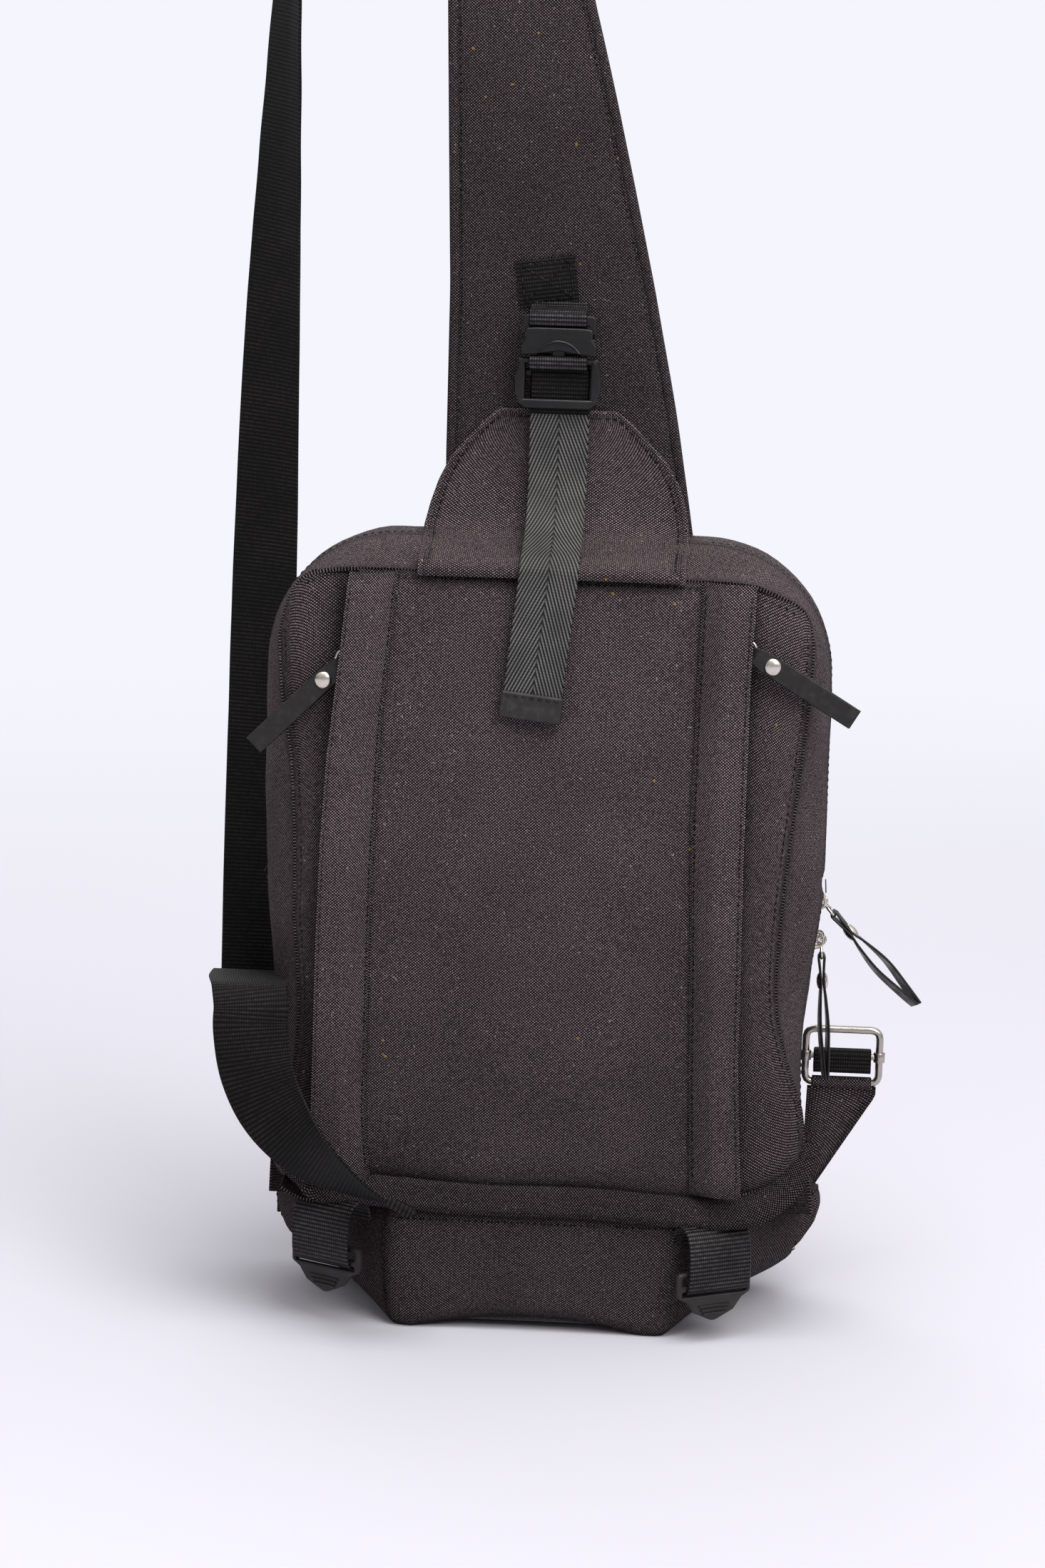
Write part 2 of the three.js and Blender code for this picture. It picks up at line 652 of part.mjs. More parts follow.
// The loose end leaves the left slider, folds over in front and drapes across the
// lower left corner, turning its flat side upward.
const tailStations = [
  [[legX, 43.6, 118], [1, 0, 0]],
  [[legX, 41, 134], [1, 0, 0]],
  [[-142, 30, 150], [1, 0, 0]],
  [[-143, 8, 160], [1, 0, 0]],
  [[-142.5, -20, 165], [1, 0, 0]],
  [[-136, -48, 168], [1, 0, 0]],
  [[-129, -64, 162], [1, 0, 0]],
  [[-127.5, -68, 145], [1, 0.02, 0.02]],
  [[-123.5, -70, 123], [0.97, -0.1, 0.2]],
  [[-114, -73, 103], [0.86, -0.28, 0.42]],
  [[-98, -77, 86], [0.6, -0.58, 0.55]],
  [[-76, -79, 72.5], [0.28, -0.88, 0.38]],
  [[-60, -80, 66], [0.12, -0.96, 0.24]],
  [[-50, -80, 62], [0.1, -0.96, 0.22]],
];
addPiece("strap_tail", sweptWebbing(tailStations, webbingWide - 0.6, webbingThick, 52, 3, 4.2), "blackWebbing");

// ---------------------------------------------------------------- strap sliders
// Each is a rounded wire frame with a loose cross bar whose ends wrap the sides.
const wireRadius = sliderWire / 2;
const frameHalfX = sliderWidth / 2;
const frameHalfZ = sliderHeight / 2;
const sliderMiddleZ = sliderBottomZ + frameHalfZ;

function frameLoop(inset, corner) {
  return roundCorners(
    [
      [-frameHalfX + inset, -frameHalfZ + inset, corner],
      [frameHalfX - inset, -frameHalfZ + inset, corner],
      [frameHalfX - inset, frameHalfZ - inset, corner],
      [-frameHalfX + inset, frameHalfZ - inset, corner],
    ],
    4,
  );
}
const tabThick = 3;
for (const { side, sign } of sides) {
  const group = new THREE.Group();
  group.position.set(sign * sliderX, sliderY, sliderMiddleZ);
  bag.add(group);
  const frame = extrudeFront(frameLoop(0, 5), -wireRadius, wireRadius, frameLoop(sliderWire, 2.4));
  addPiece(`strap_slider_${side}`, frame, "metal", group);
  const barRod = rod(1.5, sliderWidth - 2 * sliderWire + 1, "x", 0, 0, 0, 12);
  const sleeveX = frameHalfX - wireRadius;
  const sleeves = [-sleeveX, sleeveX].map((x) => block(x - 2.6, x + 2.6, -2.6, 2.6, -2.2, 2.2));
  const clearance = [-sleeveX, sleeveX].map((x) => block(x - 1.95, x + 1.95, -1.95, 1.95, -3, 3));
  addPiece(`slider_bar_${side}`, cut(join(barRod, ...sleeves), ...clearance), "metal", group);

  // Canvas tab from the bottom rear corner up to the slider's lower side.
  const tabOutline = [
    [123, 26],
    [128.5, 50],
    [159, 94],
    [158, sliderBottomZ - 1],
    [125, sliderBottomZ - 1],
    [123, 88],
  ];
  addPiece(`slider_tab_${side}`, handed(extrudeFront(tabOutline, sliderY - tabThick / 2, sliderY + tabThick / 2), sign), "canvas");
}

// Short webbing left threaded on the right-hand slider's bar.
const keeperLine = [
  [-2.8, -6.4],
  [-2.8, 1.2],
  [-1.6, 2.9],
  [1.6, 2.9],
  [2.8, 1.2],
  [2.8, -6.4],
];
const keeper = extrudeAcross(stripOutline(keeperLine, 1.2), -13.4, 13.4);
keeper.translate(sliderX, sliderY, sliderMiddleZ);
addPiece("slider_keeper_webbing", keeper, "blackWebbing");

// ---------------------------------------------------------------- lower loops and ladder locks
// Profiles are [outward, height] from a plane that touches the slanted corner.
const lockTurn = 32;
const lockPlace = { x: 79.4, y: -38.2 };
const lowerHalf = webbingWide / 2;

// Turns a profile drawn outward-and-up into place on one side of the bag.
function cornerGroup(sign) {
  const group = new THREE.Group();
  group.position.set(sign * lockPlace.x, lockPlace.y, 0);
  group.rotation.z = THREE.MathUtils.degToRad(sign * lockTurn);
  bag.add(group);
  return group;
}
const outwardUp = ([outward, height]) => [-outward, height];
const loopLine = [
  [1.4, 44.6],
  [4.6, 48.8],
  [9, 50.2],
  [14.6, 48.4],
  [17.6, 43],
  [17, 36],
  [14.6, 31.6],
].map(outwardUp);
const lockBackOut = 12.8;
const lockFrontOut = 16;
for (const { side, sign } of sides) {
  const group = cornerGroup(sign);
  const loop = extrudeAcross(stripOutline(loopLine, webbingThick), -lowerHalf, lowerHalf);
  addPiece(`lower_loop_${side}`, loop, "blackWebbing", group);
  const lockHalf = lowerHalf + 3.4;
  const plateOutline = roundCorners(
    [
      [-lockHalf, 30.8, 3],
      [-lockHalf, 16, 3],
      [-8, 13.4],
      [-6, 8.4, 3],
      [6, 8.4, 3],
      [8, 13.4],
      [lockHalf, 16, 3],
      [lockHalf, 30.8, 3],
    ],
    3,
  );
  const plate = extrudeFront(plateOutline.reverse(), -lockFrontOut, -lockBackOut);
  const slots = [
    [24.6, 28.4],
    [18.2, 22],
  ].map(([low, high]) => block(-lowerHalf - 0.6, lowerHalf + 0.6, -lockFrontOut - 1, -lockBackOut + 1, low, high));
  addPiece(`ladder_lock_${side}`, cut(plate, ...slots), "plastic", group);
}

export default bag;
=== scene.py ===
"""Looks of a canvas sling bag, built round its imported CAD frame."""
import math

import bpy
import numpy as np
from mathutils import Matrix, Vector, noise
from mathutils.bvhtree import BVHTree


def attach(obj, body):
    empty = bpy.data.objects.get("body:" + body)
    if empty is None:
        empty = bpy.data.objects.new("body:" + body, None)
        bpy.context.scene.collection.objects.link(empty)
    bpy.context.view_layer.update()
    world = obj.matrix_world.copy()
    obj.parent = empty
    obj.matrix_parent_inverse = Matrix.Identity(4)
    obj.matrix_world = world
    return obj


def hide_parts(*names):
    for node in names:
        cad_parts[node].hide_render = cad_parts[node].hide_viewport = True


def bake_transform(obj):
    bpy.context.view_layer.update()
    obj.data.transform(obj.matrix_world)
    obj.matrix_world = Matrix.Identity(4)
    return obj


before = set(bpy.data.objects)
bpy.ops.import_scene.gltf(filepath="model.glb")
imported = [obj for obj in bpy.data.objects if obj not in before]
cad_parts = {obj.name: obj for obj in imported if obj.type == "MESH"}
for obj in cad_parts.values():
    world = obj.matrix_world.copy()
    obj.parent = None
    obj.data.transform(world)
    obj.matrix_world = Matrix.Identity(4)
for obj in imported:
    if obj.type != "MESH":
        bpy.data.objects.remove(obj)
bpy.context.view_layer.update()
MM = 0.001


def turned(degrees, axis):
    return Matrix.Rotation(math.radians(degrees), 4, axis)


def looking(place, aim):
    """A matrix at a place that faces the point aim, as cameras and lamps do."""
    place = Vector(place)
    return Matrix.Translation(place) @ (Vector(aim) - place).to_track_quat("-Z", "Y").to_matrix().to_4x4()


def linked(name, data):
    """A new object, put into the scene."""
    obj = bpy.data.objects.new(name, data)
    bpy.context.scene.collection.objects.link(obj)
    return obj


# ------------------------------------------------------------------ camera
CAMERA_PLACE = (0.10467, -2.04726, 0.585)
CAMERA_AIM = (0.0, -0.050, 0.244)
CAMERA_ROLL = 1.7  # degrees
CAMERA_LENS = 104.67
CAMERA_SHIFT = (-0.01206, 0.01215)
camera_data = bpy.data.cameras.new("camera")
camera_data.lens = CAMERA_LENS
camera_data.shift_x, camera_data.shift_y = CAMERA_SHIFT
camera = linked("camera", camera_data)
camera.matrix_world = looking(CAMERA_PLACE, CAMERA_AIM) @ turned(CAMERA_ROLL, "Z")
bpy.context.scene.camera = camera
bpy.context.scene.view_settings.view_transform = "Standard"


# ------------------------------------------------------------------ materials
class Graph:
    """Builds one material's nodes."""

    def __init__(self, name, roughness, metallic=0.0, sheen=0.0, specular=0.5):
        self.material = bpy.data.materials.new(name)
        self.material.use_nodes = True
        self.tree = self.material.node_tree
        self.shader = self.tree.nodes["Principled BSDF"]
        self.shader.inputs["Roughness"].default_value = roughness
        self.shader.inputs["Metallic"].default_value = metallic
        self.shader.inputs["Specular IOR Level"].default_value = specular
        self.shader.inputs["Sheen Weight"].default_value = sheen
        self.shader.inputs["Sheen Roughness"].default_value = 0.5
        place = self.tree.nodes.new("ShaderNodeTexCoord")
        self.position = place.outputs["Object"]
        split = self.tree.nodes.new("ShaderNodeSeparateXYZ")
        self.link(place.outputs["UV"], split.inputs[0])
        self.across, self.along = split.outputs[0], split.outputs[1]

    def link(self, source, target):
        self.tree.links.new(source, target)

    def plug(self, value, socket):
        if isinstance(value, bpy.types.NodeSocket):
            self.link(value, socket)
        else:
            socket.default_value = value

    def math(self, operation, first, second=0.0, third=0.0):
        node = self.tree.nodes.new("ShaderNodeMath")
        node.operation = operation
        for value, socket in zip((first, second, third), node.inputs):
            self.plug(value, socket)
        return node.outputs[0]

    def times(self, first, second):
        return self.math("MULTIPLY", first, second)

    def plus(self, first, second):
        return self.math("ADD", first, second)

    def wave(self, phase):
        """A smooth wave from 0 to 1 that repeats as phase grows by 1."""
        return self.math("MULTIPLY_ADD", self.math("COSINE", self.times(phase, math.tau)), 0.5, 0.5)

    def ribs(self, direction, pitch):
        """A wave that repeats every pitch metres in a direction."""
        return self.wave(self.math("DIVIDE", direction, pitch))

    def noise(self, scale, detail=2.0):
        node = self.tree.nodes.new("ShaderNodeTexNoise")
        self.link(self.position, node.inputs["Vector"])
        node.inputs["Scale"].default_value = scale
        node.inputs["Detail"].default_value = detail
        return node.outputs["Fac"]

    def spread(self, value, low, high, out_low, out_high):
        """Maps low..high smoothly to out_low..out_high."""
        node = self.tree.nodes.new("ShaderNodeMapRange")
        node.interpolation_type = "SMOOTHSTEP"
        for given, socket in zip((value, low, high, out_low, out_high), node.inputs):
            self.plug(given, socket)
        return node.outputs[0]

    def patches(self, scale, detail, low, high, out_low, out_high):
        """Noise whose values from low to high become out_low to out_high."""
        return self.spread(self.noise(scale, detail), low, high, out_low, out_high)

    def mix(self, share, first, second):
        node = self.tree.nodes.new("ShaderNodeMix")
        node.data_type = "RGBA"
        self.plug(share, node.inputs[0])
        for value, socket in ((first, node.inputs[6]), (second, node.inputs[7])):
            self.plug(value if isinstance(value, bpy.types.NodeSocket) else (*value, 1.0), socket)
        return node.outputs[2]

    def scale_colour(self, colour, factor):
        node = self.tree.nodes.new("ShaderNodeVectorMath")
        node.operation = "SCALE"
        self.plug(colour, node.inputs[0])
        self.plug(factor, node.inputs["Scale"])
        return node.outputs[0]

    def finish(self, colour, height, depth, strength=1.0, roughness=None):
        self.link(colour, self.shader.inputs["Base Color"])
        bump = self.tree.nodes.new("ShaderNodeBump")
        bump.inputs["Distance"].default_value = depth
        bump.inputs["Strength"].default_value = strength
        self.link(height, bump.inputs["Height"])
        self.link(bump.outputs[0], self.shader.inputs["Normal"])
        if roughness is not None:
            self.link(roughness, self.shader.inputs["Roughness"])
        return self.material


NUB = 1.45 * MM  # one repeat of the canvas weave
WEFT_SHARE = 0.88  # the weft's repeat as a share of the warp's
CANVAS_DARK, CANVAS_LIGHT = (0.0120, 0.0088, 0.0100), (0.285, 0.228, 0.242)
FLECK_COLOUR, OCHRE_COLOUR = (0.48, 0.44, 0.43), (0.45, 0.24, 0.05)


def canvas_material(name, tone, fleck=1.0, high=1.0):
    """Heathered plain weave: pale and dark yarns alternate, with stray light flecks.
    It has painted shade along its seams, in the hollows between yarns and towards the foot; high paints
    light on it from 0.5 to 0.7 m up."""
    g = Graph(name, roughness=0.95, specular=0.06)
    drift = g.times(g.math("SUBTRACT", g.noise(170, 1.0), 0.5), 1.1)
    warp = g.math("COSINE", g.math("MULTIPLY_ADD", g.across, math.tau / NUB, drift))
    weft = g.math("COSINE", g.math("MULTIPLY_ADD", g.along, math.tau / (NUB * WEFT_SHARE), drift))
    weave = g.times(warp, weft)
    nub = g.spread(weave, 0.02, 0.62, 0.0, 1.0)
    height = g.math("POWER", g.math("ABSOLUTE", weave), 0.5)
    yarn = g.noise(1000, 2.0)
    pale = g.spread(yarn, 0.34, 0.68, 0.46, 1.36)
    dark, light = (tuple(c * tone for c in colour) for colour in (CANVAS_DARK, CANVAS_LIGHT))
    colour = g.mix(g.times(nub, pale), dark, light)
    speck = g.patches(900, 0.0, 0.79, 0.83, 0.0, 0.4 * fleck)
    colour = g.mix(speck, colour, FLECK_COLOUR)
    ochre = g.patches(330, 0.0, 0.892, 0.900, 0.0, 0.8 * fleck)
    colour = g.mix(ochre, colour, OCHRE_COLOUR)
    cloud = g.patches(24, 3.0, 0.3, 0.72, 0.91, 1.10)
    # Painted shade in the hollows between the yarns.
    gap = g.spread(height, 0.0, 0.5, 0.35, 1.0)
    # Painted shade along the seams, from the seam attribute that shell writes.
    seam = g.tree.nodes.new("ShaderNodeAttribute")
    seam.attribute_name = "seam"
    place_split = g.tree.nodes.new("ShaderNodeSeparateXYZ")
    g.link(g.position, place_split.inputs[0])
    # Painted shade towards the foot, and painted light from 0.5 to 0.7 m up when high is above 1.
    wear_and_painted_shade = g.spread(place_split.outputs[2], 0.04, 0.28, 0.74, 1.0)
    lit = g.times(wear_and_painted_shade, g.spread(place_split.outputs[2], 0.5, 0.7, 1.0, high))
    painted_shading = g.times(lit, g.math("SUBTRACT", 1.0, seam.outputs["Fac"]))
    colour = g.scale_colour(colour, g.times(g.times(cloud, gap), painted_shading))
    return g.finish(colour, g.plus(height, g.times(yarn, 0.4)), 0.45 * MM, 0.9)


def webbing_material(name, dark, light, rough=0.62):
    """Black webbing: fine ribs across it and a flat weave along it."""
    g = Graph(name, roughness=rough, specular=0.12)
    ribs = g.ribs(g.along, 1.8 * MM)
    ends = g.ribs(g.across, 1.1 * MM)
    height = g.plus(g.times(ribs, 0.7), g.times(ends, 0.4))
    band = g.patches(45, 2.0, 0.3, 0.7, 0.75, 1.3)
    share = g.times(
        g.spread(height, 0.4, 1.1, 0.0, 1.0), g.patches(500, 2.0, 0.3, 0.7, 0.4, 1.0)
    )
    colour = g.scale_colour(g.mix(share, dark, light), band)
    return g.finish(colour, height, 0.3 * MM, 0.7)


def herringbone_material():
    """Grey webbing whose threads slope inward from both edges to its middle."""
    g = Graph("herringbone", roughness=0.6, specular=0.2)
    slope = math.radians(22)
    side = g.times(g.math("ABSOLUTE", g.across), -math.cos(slope))
    phase = g.math("DIVIDE", g.plus(side, g.times(g.along, math.sin(slope))), 1.45 * MM)
    thread = g.wave(phase)
    cross = g.ribs(g.along, 1.3 * MM)
    middle = g.spread(g.math("ABSOLUTE", g.across), 0.0, 0.9 * MM, 0.45, 1.0)
    share = g.times(
        g.spread(thread, 0.2, 0.9, 0.0, 1.0), g.math("MULTIPLY_ADD", cross, 0.35, 0.65)
    )
    colour = g.mix(g.times(share, middle), (0.005, 0.0052, 0.0050), (0.135, 0.132, 0.127))
    colour = g.scale_colour(colour, g.patches(70, 2.0, 0.3, 0.7, 0.8, 1.15))
    return g.finish(colour, thread, 0.3 * MM, 0.8)


def leather_material(name, colour, gloss=0.42):
    g = Graph(name, roughness=gloss, specular=0.32)
    grain = g.tree.nodes.new("ShaderNodeTexVoronoi")
    g.link(g.position, grain.inputs["Vector"])
    grain.inputs["Scale"].default_value = 1100
    wear_and_painted_shade = g.patches(260, 3.0, 0.45, 0.75, 0.0, 0.6)
    shade = g.mix(wear_and_painted_shade, colour, tuple(c * 2.6 for c in colour))
    rough = g.patches(120, 2.0, 0.3, 0.7, gloss - 0.08, gloss + 0.16)
    return g.finish(shade, g.plus(grain.outputs["Distance"], g.noise(500)), 0.12 * MM, 0.5, rough)


def plastic_material(name, colour, gloss=0.4):
    g = Graph(name, roughness=gloss, specular=0.3)
    scuff = g.patches(90, 5.0, 0.52, 0.78, 0.0, 0.7)
    shade = g.mix(scuff, colour, tuple(c * 1.9 + 0.004 for c in colour))
    rough = g.patches(150, 3.0, 0.3, 0.7, gloss - 0.06, gloss + 0.14)
    return g.finish(shade, g.noise(2200, 1.0), 0.04 * MM, 0.5, rough)


def metal_material(name, colour, gloss):
    g = Graph(name, roughness=gloss, metallic=1.0)
    wear = g.patches(130, 3.0, 0.48, 0.78, 0.0, 0.4)
    shade = g.mix(wear, colour, tuple(c * 0.62 for c in colour))
    rough = g.patches(300, 3.0, 0.3, 0.75, gloss, gloss + 0.12)
    return g.finish(shade, g.noise(700, 2.0), 0.006 * MM, 0.3, rough)


def lining_material(name, dark, light):
    """Thin woven lining with small ripstop squares."""
    g = Graph(name, roughness=0.7, sheen=0.1, specular=0.35)
    grid = g.math(
        "MAXIMUM", g.ribs(g.across, 4 * MM), g.ribs(g.along, 4 * MM)
    )
    line = g.spread(grid, 0.93, 1.0, 0.0, 1.0)
    threads = g.times(
        g.ribs(g.across, 0.6 * MM),
        g.ribs(g.along, 0.6 * MM)
    )
    colour = g.mix(g.math("MULTIPLY_ADD", line, 0.6, g.times(threads, 0.3)), dark, light)
    colour = g.scale_colour(colour, g.patches(30, 3.0, 0.3, 0.7, 0.8, 1.15))
    return g.finish(colour, g.plus(threads, line), 0.15 * MM, 0.5)


def tape_material():
    """Knitted zip tape: fine ribs along its length."""
    g = Graph("zip_tape_knit", roughness=0.8, sheen=0.1, specular=0.3)
    ribs = g.ribs(g.across, 0.7 * MM)
    knit = g.ribs(g.along, 1.0 * MM)
    share = g.times(ribs, g.math("MULTIPLY_ADD", knit, 0.5, 0.5))
    colour = g.scale_colour(
        g.mix(share, (0.006, 0.006, 0.007), (0.035, 0.033, 0.036)),
        g.patches(60, 2.0, 0.3, 0.7, 0.8, 1.2)
    )
    return g.finish(colour, share, 0.2 * MM, 0.7)


canvas = canvas_material("canvas_weave", tone=0.99)
# A lighter copy of the canvas: painted light.
canvas_lit = canvas_material("canvas_weave_lit", tone=1.16)
# A darker copy of the canvas: painted shade.
canvas_shaded = canvas_material("canvas_weave_shaded", tone=0.88, fleck=0.7)
# A much darker copy of the canvas, painted shade, with painted light from 0.5 to 0.7 m up.
canvas_strap = canvas_material("canvas_weave_strap", tone=0.56, fleck=0.7, high=1.55)
# A darker copy of the canvas: painted shade.
canvas_strip = canvas_material("canvas_weave_strip", tone=0.6, fleck=0.7)
black_webbing = webbing_material("black_webbing_weave", (0.0012, 0.0010, 0.0010), (0.021, 0.018, 0.0178))
grey_webbing = herringbone_material()
loop_webbing = webbing_material("loop_webbing_weave", (0.004, 0.0038, 0.004), (0.068, 0.062, 0.066), 0.36)
leather = leather_material("black_leather_grain", (0.0095, 0.0085, 0.0085))
cap_leather = leather_material("cap_leather_grain", (0.0145, 0.0128, 0.0124), 0.45)
plastic = plastic_material("buckle_moulding", (0.0042, 0.0038, 0.0040), 0.3)
lock_plastic = plastic_material("lock_moulding", (0.015, 0.0135, 0.013), 0.42)
bright_metal = metal_material("polished_metal", (0.62, 0.57, 0.52), 0.2)
tooth_metal = metal_material("zip_tooth_metal", (0.13, 0.12, 0.115), 0.3)
dark_metal = metal_material("dark_plated_metal", (0.42, 0.385, 0.35), 0.2)
lining = lining_material("lining_weave", (0.022, 0.022, 0.025), (0.075, 0.075, 0.08))
foam = lining_material("foam_mesh", (0.010, 0.010, 0.011), (0.05, 0.05, 0.052))
tape = tape_material()
thread = webbing_material("sewing_thread", (0.006, 0.0055, 0.006), (0.040, 0.036, 0.038), 0.5)


# ------------------------------------------------------------------ mesh making
def paint(mesh, material):
    """Gives a mesh one material and smooth shading."""
    mesh.materials.clear()
    mesh.materials.append(material)
    mesh.polygons.foreach_set("use_smooth", [True] * len(mesh.polygons))


def make_mesh(name, points, faces, uvs, material, smooth_angle=40):
    """A mesh from points in millimetres and one texture place per point, also in millimetres."""
    mesh = bpy.data.meshes.new(name)
    mesh.from_pydata((np.asarray(points, float) * MM).tolist(), [], faces)
    if uvs is not None:
        layer = mesh.uv_layers.new(name="UVMap")
        corners = np.empty(len(mesh.loops), int)
        mesh.loops.foreach_get("vertex_index", corners)
        layer.data.foreach_set("uv", (np.asarray(uvs, float)[corners] * MM).ravel())
    paint(mesh, material)
    mesh.set_sharp_from_angle(angle=math.radians(smooth_angle))
    mesh.update()
    return linked(name, mesh)


def box_uvs(obj):
    """Texture places straight from each face's two flattest directions."""
    mesh = obj.data
    layer = mesh.uv_layers.get("UVMap") or mesh.uv_layers.new(name="UVMap")
    for face in mesh.polygons:
        flat = max(range(3), key=lambda axis: abs(face.normal[axis]))
        first, second = [axis for axis in range(3) if axis != flat]
        for corner in face.loop_indices:
            place = mesh.vertices[mesh.loops[corner].vertex_index].co
            layer.data[corner].uv = (place[first], place[second])
    return obj


def final_mesh(obj):
    """Applies every modifier, or turns a curve into a mesh."""
    bpy.context.view_layer.update()
    seen = obj.evaluated_get(bpy.context.evaluated_depsgraph_get())
    mesh = bpy.data.meshes.new_from_object(seen)
    name = obj.name
    world = obj.matrix_world.copy()
    bpy.data.objects.remove(obj)
    mesh.name = name
    fresh = linked(name, mesh)
    fresh.matrix_world = world
    return fresh


def ring_faces(rings, sides, start=0, closed=False, capped=True):
    """Faces between successive rings of points, and one over each open end."""
    total = rings * sides
    faces = []
    for i in range(rings if closed else rings - 1):
        for k in range(sides):
            a, b = i * sides + k, i * sides + (k + 1) % sides
            faces.append(tuple(start + n for n in (a, b, (b + sides) % total, (a + sides) % total)))
    if capped and not closed:
        faces.append(tuple(reversed(range(start, start + sides))))
        faces.append(tuple(range(start + total - sides, start + total)))
    return faces


def unit(vectors):
    """Each row of an array, at length 1."""
    return vectors / np.linalg.norm(vectors, axis=1, keepdims=True)


def away_from(line, centre):
    """Unit directions out to each point from a line along Y through the centre."""
    away = line - np.array(centre)
    away[:, 1] = 0
    return unit(away)


def round_angles(count):
    return np.linspace(0, math.tau, count, endpoint=False)


def steps_between(points):
    """Running length along a line of points."""
    lengths = np.linalg.norm(np.diff(points, axis=0), axis=1)
    return np.concatenate([[0.0], np.cumsum(lengths)])


def resample(points, count):
    """The same line with evenly spaced points."""
    points = np.asarray(points, float)
    run = steps_between(points)
    wanted = np.linspace(0, run[-1], count)
    return np.stack([np.interp(wanted, run, points[:, axis]) for axis in range(points.shape[1])], axis=1)


def smooth_line(points, count):
    """A smooth curve through the points, evenly resampled."""
    points = np.asarray(points, float)
    padded = np.vstack([2 * points[0] - points[1], points, 2 * points[-1] - points[-2]])
    fine = []
    for i in range(1, len(padded) - 2):
        a, b, c, d = padded[i - 1 : i + 3]
        square, cube = 2 * a - 5 * b + 4 * c - d, 3 * b - a - 3 * c + d
        for t in np.linspace(0, 1, 12, endpoint=False):
            fine.append(0.5 * (2 * b + (c - a) * t + square * t**2 + cube * t**3))
    fine.append(points[-1])
    return resample(np.array(fine), count)


def normals_of(grid):
    """Unit normals of a grid of points."""
    down = np.gradient(grid, axis=0)
    over = np.gradient(grid, axis=1)
    cross = np.cross(down, over)
    return cross / np.maximum(np.linalg.norm(cross, axis=2, keepdims=True), 1e-9)


def wrinkle(points, amount, size, seed):
    """A soft bumpiness at each point, from -amount to amount."""
    flat = points.reshape(-1, 3)
    values = [noise.noise(Vector((p[0] / size + seed, p[1] / size, p[2] / size))) for p in flat]
    return amount * np.array(values).reshape(points.shape[:-1])


def shell(
    name, grid, inside, material, thickness=1.6, waves=0.5, wave_size=38.0, seed=0.0, edge=3,
    seams=(0.45,) * 4, reach=2.6
):
    """Cloth through a grid of points, given thickness on the side towards the point inside.
    Its wrinkles fade out at the edges. seams paints shade near its first and last row and column."""
    grid = np.asarray(grid, float)
    rows, columns = grid.shape[:2]
    normals = normals_of(grid)
    if np.sum(normals * (grid - np.asarray(inside, float))) < 0:
        normals = -normals
    flipped = np.sum(
        np.cross(grid[-1, 0] - grid[0, 0], grid[0, -1] - grid[0, 0]) * normals.mean((0, 1))
    ) < 0
    fade_rows = np.clip(np.minimum(np.arange(rows), np.arange(rows)[::-1]) / edge, 0, 1)
    fade_columns = np.clip(np.minimum(np.arange(columns), np.arange(columns)[::-1]) / edge, 0, 1)
    fade = np.outer(fade_rows, fade_columns)
    shift = (
        wrinkle(grid, waves, wave_size, seed) + wrinkle(grid, waves * 0.5, wave_size * 0.4, seed + 7)
    ) * fade
    outer = grid + normals * shift[..., None]
    inner = outer - normals * thickness
    u = np.mean([steps_between(grid[i]) for i in (0, rows // 2, rows - 1)], axis=0)
    v = np.mean([steps_between(grid[:, j]) for j in (0, columns // 2, columns - 1)], axis=0)
    uv = np.stack(np.meshgrid(u - u[-1] / 2, v), axis=2).reshape(-1, 2)
    points = np.vstack([outer.reshape(-1, 3), inner.reshape(-1, 3)])
    half = rows * columns
    faces = []
    for i in range(rows - 1):
        for j in range(columns - 1):
            a = i * columns + j
            quad = (a, a + columns, a + columns + 1, a + 1)
            faces.append(quad)
            faces.append(tuple(k + half for k in reversed(quad)))
    order = np.arange(half).reshape(rows, columns)
    rim = np.concatenate([order[0], order[1:, -1], order[-1, -2::-1], order[-2:0:-1, 0]]).tolist()
    for a, b in zip(rim, rim[1:] + rim[:1]):
        faces.append((a, b, b + half, a + half))
    if flipped:
        faces = [tuple(reversed(face)) for face in faces]
    obj = make_mesh(name, points, faces, np.vstack([uv, uv]), material)
    # Painted shade within about reach millimetres of the edges, kept in the seam attribute for the canvas.
    near = [np.exp(-((d / reach) ** 2)) * share for d, share in zip((v, v[-1] - v, u, u[-1] - u), seams)]
    painted_shading = np.maximum(np.maximum(near[0], near[1])[:, None], np.maximum(near[2], near[3])[None, :]).ravel()
    obj.data.attributes.new("seam", "FLOAT", "POINT").data.foreach_set("value", np.tile(painted_shading, 2))
    return obj


def strap_section(width, thickness, columns=9, crease=None):
    """Points round a flat strap's cross-section: (across, outward). A crease bends one edge back."""
    half = width / 2
    inset = thickness / 2
    across = np.linspace(-half + inset * 0.7, half - inset * 0.7, columns)
    front = [(a, inset) for a in across]
    back = [(a, -inset) for a in across[::-1]]
    section = [(-half, 0.0), *front, (half, 0.0), *back]
    if crease:
        place, slope = crease
        section = [(a, b - slope * max(0.0, a - place)) for a, b in section]
    return np.array(section)


